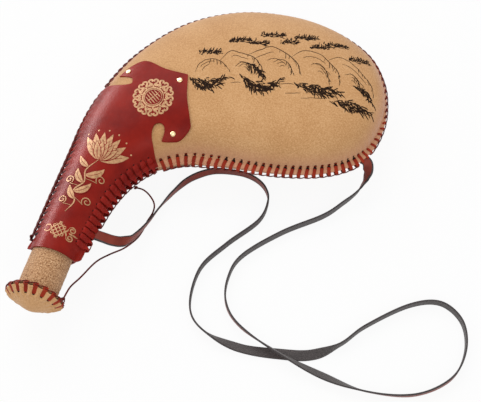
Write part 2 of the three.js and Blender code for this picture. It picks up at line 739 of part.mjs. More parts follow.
function strap() {
  const curve = routeCurve(STRAP_ROUTE);
  const rolls = STRAP_ROUTE.map((place) => place[3]);
  const rings = Array.from({ length: STRAP_STEPS + 1 }, (_, i) => {
    const t = i / STRAP_STEPS;
    const place = Math.min(t * (rolls.length - 1), rolls.length - 1.001);
    const before = Math.floor(place);
    const turned = mix(rolls[before], rolls[before + 1], smooth(place - before, 0, 1));
    const roll = THREE.MathUtils.degToRad(turned);
    const tangent = curve.getTangent(t);
    const right = tangent.clone().cross(new THREE.Vector3(0, 0, 1)).normalize();
    const upright = right.clone().cross(tangent);
    const grey = upright.multiplyScalar(Math.cos(roll)).addScaledVector(right, Math.sin(roll));
    const wide = tangent.clone().cross(grey);
    return [[1, 1], [-1, 1], [-1, -1], [1, -1]].map(([w, h]) =>
      curve
        .getPoint(t)
        .addScaledVector(wide, (w * STRAP_WIDTH) / 2)
        .addScaledVector(grey, (h * STRAP_THICKNESS) / 2),
    );
  });
  return swept(rings);
}

add("shoulder_strap", strap(), STRAP_LEATHER);

// Stopper, built about the neck axis from the spout's end outwards
const underTop = SPOUT_END_Y - FIT;
const underBase = underTop - CAP_THICKNESS;
const topRim = underBase - FIT;
const headTop = topRim;
const domeEnd = headTop - CAP_DOME + CAP_THICKNESS + FIT;
const plugTip = SPOUT_END_Y + PLUG_LENGTH;
const dome = (radius, from, to, grow) =>
  Array.from({ length: DOME_STEPS + 1 }, (_, i) => {
    const angle = (Math.PI / 2) * (i / DOME_STEPS);
    return [(radius + grow) * Math.cos(angle) ** DOME_SHAPE, from + (to - from - grow) * Math.sin(angle)];
  });

const headProfile = [
  [0, plugTip],
  [SEAL_RADIUS - FIT, plugTip],
  [SEAL_RADIUS - FIT, plugTip - PLUG_COLLAR],
  [PLUG_RADIUS, plugTip - PLUG_COLLAR],
  [PLUG_RADIUS, headTop],
  ...dome(CAP_HEAD_RADIUS, headTop, domeEnd, 0),
];
add("stopper_core", onAxis(lathe(headProfile, ROUND_SIDES)), WOOD);

const sealTop = plugTip - PLUG_COLLAR - FIT;
const sealProfile = [
  [PLUG_RADIUS + FIT, sealTop],
  [PLUG_RADIUS + FIT, sealTop - SEAL_LENGTH],
  [SEAL_RADIUS, sealTop - SEAL_LENGTH],
  [SEAL_RADIUS, sealTop],
  [PLUG_RADIUS + FIT, sealTop],
];
add("stopper_seal", onAxis(lathe(sealProfile, ROUND_SIDES)), CORK);

const underProfile = [
  [PLUG_RADIUS + FIT, underTop],
  [PLUG_RADIUS + FIT, underBase],
  [CAP_RADIUS, underBase],
  [CAP_RADIUS, underTop],
  [PLUG_RADIUS + FIT, underTop],
];
add("cap_under", onAxis(lathe(underProfile, ROUND_SIDES)), SUEDE);

const rimBase = topRim - CAP_THICKNESS;
const outerDome = dome(CAP_HEAD_RADIUS, headTop, domeEnd, FIT + CAP_THICKNESS).filter(([, y]) => y < rimBase);
const innerDome = dome(CAP_HEAD_RADIUS, headTop, domeEnd, FIT);
const capProfile = [
  ...innerDome,
  ...outerDome.reverse(),
  [outerDome.at(-1)[0] + FIT, rimBase],
  [CAP_RADIUS, rimBase],
  [CAP_RADIUS, topRim],
  innerDome[0],
];
add("cap_top", onAxis(lathe(capProfile, ROUND_SIDES)), SUEDE);

const capEdgeMiddle = (underTop + rimBase) / 2;
const capEdgeHalf = (underTop - rimBase) / 2 + FIT;
const capPlaces = Array.from({ length: CAP_STITCHES }, (_, n) => {
  const angle = (2 * Math.PI * n) / CAP_STITCHES;
  const out = new THREE.Vector3(Math.cos(angle), 0, Math.sin(angle));
  return {
    point: new THREE.Vector3(NECK_X, capEdgeMiddle, SEAM_HEIGHT).addScaledVector(out, CAP_RADIUS),
    out,
    run: new THREE.Vector3(-Math.sin(angle), 0, Math.cos(angle)),
    up: new THREE.Vector3(0, 1, 0),
    above: capEdgeHalf,
    below: capEdgeHalf,
    depthAbove: CAP_RADIUS - SPOUT_RADIUS - CAP_LACE_ROOM,
    depthBelow: CAP_RADIUS - outerDome.at(-1)[0] - 3 * FIT,
  };
});
add("cap_lace", lacing(capPlaces, CAP_STITCH_WIDTH, true), LACE);

// Tether and its knots
function tether() {
  const curve = routeCurve(TETHER_ROUTE);
  const rings = Array.from({ length: TETHER_STEPS + 1 }, (_, i) => {
    const t = i / TETHER_STEPS;
    const tangent = curve.getTangent(t);
    const right = tangent.clone().cross(new THREE.Vector3(0, 0, 1)).normalize();
    const upright = right.clone().cross(tangent);
    return Array.from({ length: TETHER_SIDES }, (_, j) => {
      const angle = (2 * Math.PI * j) / TETHER_SIDES;
      return curve
        .getPoint(t)
        .addScaledVector(right, -TETHER_RADIUS * Math.cos(angle))
        .addScaledVector(upright, TETHER_RADIUS * Math.sin(angle));
    });
  });
  return swept(rings);
}

function knot(from, to) {
  const end = new THREE.Vector3(...from);
  const away = end.clone().sub(new THREE.Vector3(...to)).normalize();
  const ball = new THREE.IcosahedronGeometry(KNOT_RADIUS, 1);
  return closed(ball.translate(...end.addScaledVector(away, KNOT_RADIUS + FIT)));
}

add("stopper_tether", tether(), LACE);
add("tether_knot_cap", knot(TETHER_ROUTE[0], TETHER_ROUTE[1]), LACE);
add("tether_knot_neck", knot(TETHER_ROUTE.at(-1), TETHER_ROUTE.at(-2)), LACE);

export default group;
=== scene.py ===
# Looks of a laced leather flask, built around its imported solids.
# Metres, Z up, the neck along -Y, the origin on the flat that the flask rests on.
import math
from collections import namedtuple

import bmesh
import bpy
import numpy as np
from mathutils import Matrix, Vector, noise
from mathutils.bvhtree import BVHTree


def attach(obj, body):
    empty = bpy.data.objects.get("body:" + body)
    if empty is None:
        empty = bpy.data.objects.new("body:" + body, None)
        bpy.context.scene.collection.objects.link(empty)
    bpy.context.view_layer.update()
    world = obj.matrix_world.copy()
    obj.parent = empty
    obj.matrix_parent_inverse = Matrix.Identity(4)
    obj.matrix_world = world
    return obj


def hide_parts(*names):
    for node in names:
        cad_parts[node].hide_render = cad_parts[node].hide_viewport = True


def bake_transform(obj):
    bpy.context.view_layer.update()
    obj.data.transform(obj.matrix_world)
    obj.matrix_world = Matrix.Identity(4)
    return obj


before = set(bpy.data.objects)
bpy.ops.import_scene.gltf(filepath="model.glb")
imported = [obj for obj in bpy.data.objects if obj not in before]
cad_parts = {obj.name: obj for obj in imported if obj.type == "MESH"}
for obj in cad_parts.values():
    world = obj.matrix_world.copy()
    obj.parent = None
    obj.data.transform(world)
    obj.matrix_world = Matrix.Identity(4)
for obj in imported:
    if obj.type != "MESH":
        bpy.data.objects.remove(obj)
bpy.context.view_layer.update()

MM = 0.001
UP = np.array([0.0, 0.0, 1.0])

# Camera of the photograph
CAMERA_PLACE = (0.1477, -0.5396, 0.9509)
CAMERA_TURN = (math.radians(26), 0, math.radians(17.795))
CAMERA_LENS = 86.07
CAMERA_SENSOR = 36
CAMERA_REACH = 100

# Light and floor
WORLD_LIGHT = 0.6
BODY_AIM = (-0.02, -0.05, 0.04)
SLEEVE_AIM = (-0.14, -0.13, 0.05)
FLOOR_REACH = 20
FLOOR_HEIGHT = -0.4 * MM
FLOOR_GREY = 0.8
FLOOR_WHITE = 0.92

# Leather, neck and swell, as in the solids
PANEL_THICKNESS = 1.4 * MM
SLEEVE_THICKNESS = 1.4 * MM
FIT = 0.3 * MM
SEAM_GAP = 1.0 * MM
SLEEVE_LAYER = FIT + SLEEVE_THICKNESS
PANEL_LEDGE = SEAM_GAP + PANEL_THICKNESS
SLEEVE_LEDGE = PANEL_LEDGE + SLEEVE_LAYER
NECK_X = -127 * MM
MOUTH_Y = -214 * MM
SPOUT_RADIUS = 17.8 * MM
NECK_RADIUS = SPOUT_RADIUS + FIT + PANEL_THICKNESS
FRONT_SWELL = 38.5 * MM
BACK_SWELL = 44 * MM
BACK_SLOPE = 1.14
SEAM_HEIGHT = 38 * MM
NECK_AXIS = np.array([NECK_X, 0, SEAM_HEIGHT])
FLANGE_MOUTH = 4 * MM
FLANGE_BODY = 7.5 * MM
FLANGE_SHARES = np.linspace(0, 1, 9)[:-1]
FOOT_FILLET = 9 * MM
NECK_ROUNDNESS = 2
BACK_ROUNDNESS = (2.8, 2.8)
FRONT_ROUNDNESS = (2.2, 2.5)
NECK_STATION = 1
SHOULDER_STATION = 4
BODY_STATION = 5

# Seam edge in millimetres, up the left side, round the far end and down the right side
SEAM_LEFT = [
    (-150.5, -214), (-150.4, -158), (-149.7, -118), (-148.7, -86), (-143, -44.6), (-127, 0),
    (-94.5, 45), (-50.5, 73.2), (-2, 84), (43, 80.5), (79.6, 65.2), (101, 40.8),
]
SEAM_END = (111.3, 13.4)
SEAM_RIGHT = [
    (-103.5, -214), (-96.3, -157), (-84, -125), (-67.5, -106.5), (-46.6, -93.8), (-21.2, -88.4),
    (7.7, -84.8), (39.5, -79.3), (71.1, -69.4), (94.5, -54.8), (107.9, -37), (113.4, -12),
]
SEAM = MM * np.array([*SEAM_LEFT, SEAM_END, *reversed(SEAM_RIGHT)])
STATIONS = len(SEAM_LEFT)
LAST_PLACE = 2 * STATIONS
SEAM_SAMPLES = 1801
POINTS_AT_ONCE = 4000

# Panels, by stations that count the seam's points from the mouth
PANEL_FIRST_STATION = 0.2
PANEL_LAST_STATION = 11.85
PANEL_ROWS = 700
PANEL_COLUMNS = 52
DOME_EASE = 1.5
END_ROWS = 10
END_ROOM = 0.1
INNER_STEP = 9
BODY_PUCKER = 0.7 * MM
NECK_PUCKER = 1.1 * MM
RIGHT_NECK_PUCKER = -0.4
PUCKER_START = (-1 * MM, 2 * MM)
PUCKER_FADE = 0.8
PUCKER_REACH = 7 * MM
MOST_LEAN = 1.3
EDGE_ROLL = 0.9 * MM
EDGE_ROLL_REACH = 2.2 * MM
SLACK = 0.35 * MM
SLACK_RISE = (6 * MM, 18 * MM)
# Reach from the seam of the painted light, a lighter pink, on the panels' suede
SEAM_LIGHT_REACH = 14 * MM
TUCK = 2.2 * MM
TUCK_FADE = 0.3
BACK_TUCK_STATION = 10.4
LEFT_NECK_TUCK = 4.2 * MM
LEFT_TUCK_START, LEFT_TUCK_END = (0.02, 0.24), (2.0, 3.2)
FRONT_TUCK_SHARE, BACK_TUCK_SHARE, BACK_SLEEVE_SHARE = 1.15, 0.9, 0.88
FRONT_OVERHANG = 1.7 * MM
OVERHANG_START, OVERHANG_END = (2.95, 3.3), (4.7, 5.7)

# Cloud-shaped upper edge of the sleeve in millimetres: smooth stretches that meet at sharp tips
SLEEVE_EDGE_START = (-162, -47)
SLEEVE_EDGE = [
    [(-128, -50), (-114.5, -48), (-113.5, -44), (-116.5, -40.5), (-128.5, -39)],
    [(-121, -27.5), (-109, -20.5), (-88, -26.3), (-66, -27.5)],
    [(-60, -48), (-51, -67), (-48.4, -74.5), (-54, -84), (-62.5, -88.5), (-69.5, -91)],
    [(-69.2, -84), (-71.5, -79), (-75.6, -78), (-79.5, -81.5), (-79, -90), (-72.6, -102.1)],
]
FRONT_EDGE_FINISH = [
    (-64, -112), (-64, -200), (-97, -201.5), (-98.8, -208.5), (-101.4, -213.4), (-105, -216.2),
    (-109, -217.4), (-114, -218), (-122, -219), (-162, -234),
]
BACK_EDGE_FINISH = [
    (-64, -112), (-64, -197), (-99.6, -198), (-102, -204.5), (-105, -209), (-109, -211.5), (-114, -213),
    (-162, -226),
]
CUTTER_HEIGHTS = (-0.05, 0.15)
EDGE_STEPS = 9
SLEEVE_LAST_STATION = 6
SLEEVE_SPARE = 0.4
SLEEVE_FADE = 0.5
SLEEVE_ROWS = 330
FRONT_LIP = 3 * MM
FRONT_LIP_STATION = 0.35
FLARE_LEFT = 1.6 * MM
FLARE_RIGHT = 2.6 * MM
FLARE_START = 0.6

# Lacing
LACE_THICKNESS = 1.0 * MM
LACE_PITCH = 6.9 * MM
SLEEVE_TOP_LEFT = 3.86
SLEEVE_TOP_RIGHT = 2.9
LACE_START_STATION = 0.06
LACE_JUMP = 0.12
LACE_ROOM = 1 * MM
STITCH_BACK = 6.4 * MM
BACK_LEAN = -0.5
STITCH_FULLNESS = 0.34
STRAP_STITCH_GAP = 6.2 * MM
BAR_SIDES = 10
BAR_SQUARE = 2.6
CORD_SIDES = 8
CORD_SQUARE = 2.2

# How the seam is laced, by place along it. Each row has the place, then in millimetres: the width of the
# flange in front, the width of a stitch, how far its front hole lies from the edge, how far it leans along
# the seam on the way there, and the radius and the distance from the edge of the cord that runs along it.
SEAM_STYLE = np.array([
    (0.0, 5.8, 2.6, 6.2, 3.4, 1.2, -0.5),
    (1.6, 5.8, 2.6, 6.2, 4.2, 1.3, -0.2),
    (2.4, 4.6, 2.6, 4.8, 4.4, 1.2, 0.4),
    (3.3, 3.0, 2.4, 3.0, 4.4, 1.3, 1.3),
    (3.9, 3.2, 1.9, 1.8, 3.6, 0.9, 1.1),
    (12.2, 3.4, 1.7, 1.5, 3.4, 0.5, 0.6),
    (13.4, 5.0, 2.0, 4.0, 0.8, 0.5, 0.6),
    (14.2, 6.2, 2.3, 5.2, 0.4, 0.5, 0.6),
    (14.6, 6.4, 3.3, 5.8, 0.2, 0.5, 2.1),
    (16.0, 6.4, 3.2, 5.8, -1.4, 0.5, 2.1),
    (18.3, 6.4, 3.2, 5.8, -1.8, 0.5, 2.3),
    (19.2, 6.4, 3.2, 5.8, -1.8, 0.5, 3.7),
    (20.9, 6.4, 3.2, 5.6, 0.8, 0.5, 3.9),
    (21.1, 6.4, 5.4, 6.3, 1.0, 0.5, 3.0),
    (22.0, 5.2, 5.4, 6.4, 1.0, 0.5, 3.3),
    (23.0, 4.0, 5.4, 6.2, 1.0, 0.5, 3.3),
    (24.0, 4.0, 5.0, 5.6, 1.0, 0.5, 3.0),
]).T
Style = namedtuple("Style", "flange width depth lean cord_radius cord_offset")

# Strap, with its middle line and the roll in degrees: 0 with the grey face up, 90 with it to the right
STRAP_WIDTH = 9.5 * MM
STRAP_THICKNESS = 1.6 * MM
STRAP_SQUARE = 9
STRAP_NECK_STATION = 0.48
STRAP_BODY_STATION = 9.75
STRAP_STEPS = 460
STRAP_ROUTE = np.array([
    (-0.105, -0.1847, 0.038, -180), (-0.0983, -0.1854, 0.0379, -180), (-0.091, -0.1854, 0.037, -175),
    (-0.084, -0.1846, 0.0342, -160), (-0.077, -0.181, 0.0288, -135), (-0.0715, -0.1725, 0.0208, -92),
    (-0.068, -0.1585, 0.0128, -82), (-0.065, -0.1445, 0.0076, -77), (-0.0615, -0.129, 0.0054, -73),
    (-0.0555, -0.1125, 0.0051, -86), (-0.0475, -0.097, 0.0051, -97), (-0.038, -0.0865, 0.0051, -99),
    (-0.026, -0.0785, 0.0051, -96), (-0.012, -0.0748, 0.0051, -90), (0.002, -0.0732, 0.0051, -90),
    (0.015, -0.0756, 0.0051, -90), (0.0255, -0.0825, 0.0051, -90), (0.031, -0.094, 0.0051, -90),
    (0.0285, -0.115, 0.0051, -90), (0.008, -0.146, 0.0051, -90), (-0.007, -0.176, 0.0051, -90),
    (-0.004, -0.212, 0.0051, -90), (0.014, -0.229, 0.0051, -75), (0.048, -0.234, 0.0028, -25),
    (0.084, -0.228, 0.0011, 0), (0.11, -0.221, 0.003, 35), (0.131, -0.205, 0.0051, 90),
    (0.147, -0.183, 0.0051, 90), (0.178, -0.153, 0.0051, 90), (0.204, -0.142, 0.0051, 90),
    (0.226, -0.153, 0.0051, 90), (0.235, -0.178, 0.0051, 90), (0.229, -0.206, 0.0051, 90),
    (0.203, -0.229, 0.0051, 84), (0.164, -0.2385, 0.0051, 74), (0.124, -0.237, 0.0056, 40),
    (0.08, -0.229, 0.0078, 68), (0.043, -0.216, 0.0065, 84), (0.025, -0.199, 0.0051, 90),
    (0.0195, -0.176, 0.0051, 90), (0.025, -0.152, 0.0051, 90), (0.052, -0.1195, 0.0051, 90),
    (0.083, -0.093, 0.0065, 90), (0.097, -0.076, 0.0095, 92), (0.1055, -0.0645, 0.013, 98),
    (0.1095, -0.056, 0.0185, 112), (0.1108, -0.0505, 0.0245, 132), (0.1106, -0.0473, 0.0315, 160),
    (0.1089, -0.0446, 0.0368, 178), (0.1054, -0.0421, 0.038, 180), (0.1003, -0.0391, 0.038, 180),
])

# Tether from the cap's rim to the neck lacing
TETHER_DIAMETER = 1.5 * MM
TETHER_FLATNESS, TETHER_SQUARE = 0.8, 2.4
TETHER_STEPS = 150
TETHER_ROUTE = [
    (-0.0999, -0.2525, 0.0501), (-0.0998, -0.2398, 0.0445), (-0.0972, -0.226, 0.0355),
    (-0.093, -0.204, 0.023), (-0.0865, -0.19, 0.0135), (-0.078, -0.178, 0.007),
    (-0.0715, -0.165, 0.0034), (-0.069, -0.155, 0.0024), (-0.0682, -0.145, 0.0024),
    (-0.0662, -0.1365, 0.0035), (-0.0656, -0.1315, 0.0085), (-0.0675, -0.1285, 0.014),
    (-0.0722, -0.1266, 0.0215), (-0.0766, -0.1274, 0.029), (-0.0806, -0.1306, 0.0362),
]


# Numbers and curves


def smooth(x, low, high):
    share = np.clip((np.asarray(x, float) - low) / (high - low), 0, 1)
    return share * share * (3 - 2 * share)


def hump(x, start, end, height=1):
    """Rises from 0 to the height over the start and falls to 0 again over the end."""
    return height * smooth(x, *start) * (1 - smooth(x, *end))


def soft_max(a, b, reach):
    """The larger of two heights, with a fillet where they are within reach of each other."""
    near = np.clip(1 - np.abs(a - b) / reach, 0, 1)
    return np.maximum(a, b) + near * near * reach / 4


def unit(vectors):
    return vectors / np.maximum(np.linalg.norm(vectors, axis=-1, keepdims=True), 1e-12)


def bent(values, power):
    return np.sign(values) * np.abs(values) ** power


def steps_of(line):
    return np.linalg.norm(np.diff(line, axis=0), axis=1)


def from_ends(line):
    """How many points each point of a line is from its nearer end."""
    count = np.arange(len(line))
    return np.minimum(count, count[::-1])


def spline(points, places):
    """Points on a smooth curve through the given ones; a place counts them from 0."""
    p = np.asarray(points, float)
    p = np.vstack([2 * p[0] - p[1], p, 2 * p[-1] - p[-2]])
    places = np.atleast_1d(np.asarray(places, float))
    i = np.clip(np.floor(places).astype(int), 0, len(p) - 4)
    w = (places - i)[:, None]
    a, b, c, d = (p[i + k] for k in range(4))
    return b + 0.5 * w * (c - a + w * (2 * a - 5 * b + 4 * c - d + w * (3 * (b - c) + d - a)))


def curve(points, steps):
    return spline(points, np.linspace(0, len(points) - 1, steps + 1))


def finer(points, times):
    """A smooth curve with the given number of steps from each point to the next."""
    return curve(points, times * (len(points) - 1))


def evenly(count, first=0):
    """Angles of a full turn in equal steps; the first is given in steps."""
    return 2 * math.pi * (np.arange(count) + first) / count


def heading(angle):
    return np.stack([np.cos(angle), np.sin(angle)], axis=-1)


def turned(points, angle):
    x, y = np.asarray(points, float).T
    cos, sin = math.cos(angle), math.sin(angle)
    return np.column_stack([x * cos - y * sin, x * sin + y * cos])


# Seam of the flask


def seam(place):
    return spline(SEAM, place)


def seam_inward(place):
    step = 1e-3
    place = np.clip(place, step, LAST_PLACE - step)
    tangent = unit(seam(place + step) - seam(place - step))
    return np.stack([tangent[:, 1], -tangent[:, 0]], axis=1)


SEAM_PLACES = np.linspace(0, LAST_PLACE, SEAM_SAMPLES)
SEAM_POINTS = seam(SEAM_PLACES)
SEAM_ARCS = np.concatenate([[0], np.cumsum(steps_of(SEAM_POINTS))])


def arc_of(place):
    return float(np.interp(place, SEAM_PLACES, SEAM_ARCS))


def place_at(arc):
    return np.interp(arc, SEAM_ARCS, SEAM_PLACES)


def style(place):
    return Style(*(MM * np.interp(place, SEAM_STYLE[0], row) for row in SEAM_STYLE[1:]))


def left_neck_tuck(place):
    """How far the leather is drawn back from the lacing on the left of the neck."""
    return hump(place, LEFT_TUCK_START, LEFT_TUCK_END, LEFT_NECK_TUCK)


# Stitches of each run of lacing, as lengths along the seam
STRAP_NECK_ARC = arc_of(LAST_PLACE - STRAP_NECK_STATION)
STRAP_BODY_ARC = arc_of(LAST_PLACE - STRAP_BODY_STATION)
STRAP_ROOM = STRAP_WIDTH / 2 + LACE_ROOM
RUN_ENDS = {
    "lace_neck_left": (arc_of(LACE_START_STATION), arc_of(SLEEVE_TOP_LEFT)),
    "lace_crown": (arc_of(SLEEVE_TOP_LEFT + LACE_JUMP), STRAP_BODY_ARC - STRAP_ROOM),
    "lace_belly": (STRAP_BODY_ARC + STRAP_ROOM, arc_of(LAST_PLACE - SLEEVE_TOP_RIGHT - LACE_JUMP)),
    "lace_neck_right": (arc_of(LAST_PLACE - SLEEVE_TOP_RIGHT), STRAP_NECK_ARC - STRAP_ROOM),
    "lace_mouth": (STRAP_NECK_ARC + STRAP_ROOM, arc_of(LAST_PLACE - LACE_START_STATION)),
}
RUNS = {}
for node, (first, last) in RUN_ENDS.items():
    count = max(1, round((last - first) / LACE_PITCH))
    RUNS[node] = first + (last - first) * (np.arange(count) + 0.5) / count
STRAP_STITCHES = {
    node: [arc + side * STRAP_STITCH_GAP / 2 for side in (-1, 1)]
    for node, arc in (("lace_belly", STRAP_BODY_ARC), ("lace_neck_right", STRAP_NECK_ARC))
}
STITCH_ARCS = np.sort(np.concatenate([*RUNS.values(), *STRAP_STITCHES.values()]))
RUNS["lace_mouth"] = RUNS["lace_mouth"][:-1]


# Layers of leather over the seam


def flange(place, side):
    if side > 0:
        return style(place).flange
    station = np.minimum(place, LAST_PLACE - place)
    return FLANGE_MOUTH + (FLANGE_BODY - FLANGE_MOUTH) * smooth(station, NECK_STATION, SHOULDER_STATION)


def chord(station, side):
    """Middle, half and half length of the lines across the flask between the feet of its flange."""
    left, right = (
        seam(place) + seam_inward(place) * flange(place, side)[:, None]
        for place in (station, LAST_PLACE - station)
    )
    half = (right - left) / 2
    return left + half, half, np.linalg.norm(half, axis=1)


WIDEST = chord(np.arange(0, STATIONS, 0.1), -1)[2].max()
FRONT_SLOPE = math.log(FRONT_SWELL / NECK_RADIUS) / math.log(WIDEST / NECK_RADIUS)
HALF_DOME = 0.5 * math.pi * np.linspace(0, 1, PANEL_COLUMNS // 2 + 1) ** DOME_EASE
DOME_ANGLES = np.concatenate([HALF_DOME, math.pi - HALF_DOME[-2::-1]])


def layer(station, side, grow, ledge, tuck):
    """Rows of points across a layer that lies grow outside the panels, its edges tucked in from the seam."""
    if side > 0:
        slope, most, bodies = FRONT_SLOPE, FRONT_SWELL, FRONT_ROUNDNESS
    else:
        slope, most, bodies = BACK_SLOPE, BACK_SWELL, BACK_ROUNDNESS
    middle, half, reach = chord(station, side)
    swell = np.minimum(NECK_RADIUS * (reach / NECK_RADIUS) ** slope, most)
    share = smooth(station, NECK_STATION, BODY_STATION)
    left, right = (2 / (NECK_ROUNDNESS + (body - NECK_ROUNDNESS) * share)[:, None] for body in bodies)
    power = np.where(np.cos(DOME_ANGLES) > 0, left, right)
    wide = -bent(np.cos(DOME_ANGLES), power) * ((reach + grow) / reach)[:, None]
    dome = middle[:, None] + half[:, None] * wide[..., None]
    fall = np.broadcast_to((ledge - FOOT_FILLET) * (1 - FLANGE_SHARES), (len(station), len(FLANGE_SHARES)))
    over = (swell + grow)[:, None] * np.abs(np.sin(DOME_ANGLES)) ** power
    rise = soft_max(np.hstack([fall, over, fall[:, ::-1]]), ledge, FOOT_FILLET)
    if side < 0:
        floor = SLEEVE_LAYER * (1 - smooth(station, SLEEVE_LAST_STATION, SLEEVE_LAST_STATION + SLEEVE_FADE))
        rise = np.minimum(rise, (SEAM_HEIGHT - floor + grow)[:, None])
    shares = FLANGE_SHARES[None, :, None]
    flanges = []
    for place, inset, foot in zip((station, LAST_PLACE - station), tuck, (dome[:, :1], dome[:, -1:])):
        edge = seam(place) + seam_inward(place) * np.broadcast_to(inset, len(station))[:, None]
        flanges.append(edge[:, None] * (1 - shares) + foot * shares)
    plan = np.concatenate([flanges[0], dome, flanges[1][:, ::-1]], axis=1)
    return np.dstack([plan, SEAM_HEIGHT + side * rise])


def far_end(rows, side):
    """The rows with those that close a panel at the far end, from its swell out to the edge of the flange."""
    columns = rows.shape[1]
    first = PANEL_LAST_STATION + END_ROOM
    places = np.linspace(first, LAST_PLACE - PANEL_LAST_STATION - END_ROOM, columns)
    edge = np.column_stack([seam(places), np.full(columns, SEAM_HEIGHT + side * PANEL_LEDGE)])
    shares = np.linspace(0, 1, END_ROWS + 1)[1:, None, None]
    plan = rows[-1] * (1 - shares) + edge * shares
    fall = (np.abs(rows[-1, :, 2] - SEAM_HEIGHT) - PANEL_LEDGE) * (1 - shares[..., 0]) ** 2
    plan[..., 2] = SEAM_HEIGHT + side * (PANEL_LEDGE + fall)
    return np.concatenate([rows, plan])


def grid_normals(grid, side):
    normal = unit(np.cross(np.gradient(grid, axis=0), np.gradient(grid, axis=1)))
    return normal * np.sign(normal[..., 2].sum() * side)


def seam_coordinates(points):
    """Length along the seam and distance from it, for points seen from above."""
    tangent = unit(np.gradient(SEAM_POINTS, axis=0))
    arcs, gaps = [], []
    plan = points.reshape(-1, 3)[:, :2]
    for part in np.array_split(plan, len(plan) // POINTS_AT_ONCE + 1):
        square = ((part[:, None] - SEAM_POINTS[None]) ** 2).sum(2)
        near = square.argmin(1)
        arcs.append(SEAM_ARCS[near] + ((part - SEAM_POINTS[near]) * tangent[near]).sum(1))
        gaps.append(np.sqrt(square[np.arange(len(part)), near]))
    return [np.concatenate(values).reshape(points.shape[:-1]) for values in (arcs, gaps)]


def stitch_wave(arcs):
    """1 midway between two stitches and 0 at a stitch; weak where stitches are far apart."""
    after = np.clip(np.searchsorted(STITCH_ARCS, arcs), 1, len(STITCH_ARCS) - 1)
    before = STITCH_ARCS[after - 1]
    room = STITCH_ARCS[after] - before
    wave = 0.5 - 0.5 * np.cos(2 * math.pi * np.clip((arcs - before) / room, 0, 1))
    return wave * np.minimum(1, LACE_PITCH / room) ** 2


def gathered(grid, side, height):
    """The grid with its leather puffed up between the stitches and its edge rolled down."""
    arcs, gaps = seam_coordinates(grid)
    place = place_at(arcs)
    depth = style(place).depth if side > 0 else np.full(place.shape, STITCH_BACK)
    lean = style(place).lean * np.clip(gaps / depth, 0, MOST_LEAN) * (1 if side > 0 else BACK_LEAN)
    rise = hump(gaps, PUCKER_START, (PUCKER_FADE * depth, depth + PUCKER_REACH))
    rise *= np.where(place > LAST_PLACE - SLEEVE_TOP_RIGHT - LACE_JUMP / 2, RIGHT_NECK_PUCKER, 1)
    roll = EDGE_ROLL * (1 - smooth(gaps, 0, EDGE_ROLL_REACH))
    return grid + grid_normals(grid, side) * (height * stitch_wave(arcs - lean) * rise - roll)[..., None]


def slack(grid):
    """The front's grid with the slow unevenness of a filled leather bag."""
    x, y = grid[..., 0] / MM, grid[..., 1] / MM
    wave = np.sin(x / 31 + 1.3 * np.sin(y / 47)) + np.sin(y / 26 + 0.8 * np.sin(x / 39) + 2)
    wave += 0.5 * np.sin((x + y) / 17 + 1)
    rise = smooth(np.abs(grid[..., 2] - SEAM_HEIGHT), *SLACK_RISE)
    return grid + grid_normals(grid, 1) * (SLACK * wave * rise)[..., None]


# Meshes

WELD = 1e-7
CREASE, SLEEVE_CREASE = 50, 40
RAY_REACH = 0.2
DISC_START = (0.3, 0.9, 0.1)


def linked(name, data):
    made = bpy.data.objects.new(name, data)
    bpy.context.scene.collection.objects.link(made)
    return made


def finished(name, mesh, materials, crease=CREASE):
    bm = bmesh.new()
    bm.from_mesh(mesh)
    bmesh.ops.remove_doubles(bm, verts=bm.verts, dist=WELD)
    bmesh.ops.recalc_face_normals(bm, faces=bm.faces)
    bm.to_mesh(mesh)
    bm.free()
    if len(mesh.materials):
        mesh.materials.clear()
    for material in materials:
        mesh.materials.append(material)
    mesh.polygons.foreach_set("use_smooth", [True] * len(mesh.polygons))
    mesh.set_sharp_from_angle(angle=math.radians(crease))
    mesh.update()
    return linked(name, mesh)


def piece(name, materials, *parts):
    """One object from parts, each with points, faces and the material numbers that aren't 0."""
    points, faces, slots, count = [], [], [], 0
    for part_points, part_faces, *slot in parts:
        points.append(np.asarray(part_points, float).reshape(-1, 3))
        faces += [[i + count for i in face] for face in part_faces]
        slot = slot[0] if slot else 0
        slots += [slot] * len(part_faces) if isinstance(slot, int) else slot
        count += len(points[-1])
    mesh = bpy.data.meshes.new(name)
    mesh.from_pydata(np.vstack(points).tolist(), [], faces)
    mesh.polygons.foreach_set("material_index", slots)
    return finished(name, mesh, materials)


def worn(made, body, node):
    """Lets a finished piece ride on a body, in place of a solid."""
    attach(made, body)
    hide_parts(node)
    return made


def dress(node, kind, body, slot, materials, *parts):
    """Makes the piece that takes a solid's place, named after both the solid and its kind."""
    return worn(piece(f"{node}_{kind}", materials, *parts), body, node)


def numbers(rows, columns):
    return np.arange(rows * columns).reshape(rows, columns)


def quads(index, ring=False):
    """Four-sided faces of a grid of point numbers; a ring joins its last column to its first."""
    if ring:
        index = np.column_stack([index, index[:, 0]])
    corners = [index[:-1, :-1], index[:-1, 1:], index[1:, 1:], index[1:, :-1]]
    return np.stack(corners, -1).reshape(-1, 4).tolist()


def tube(rings):
    """Points and faces of a closed tube through rings of points."""
    index = numbers(*rings.shape[:2])
    return rings, quads(index, True) + [index[0, ::-1].tolist(), index[-1].tolist()]


def hoop(rings):
    """Points and faces of a tube whose last ring joins its first."""
    index = numbers(*rings.shape[:2])
    return rings, quads(np.vstack([index, index[:1]]), True)


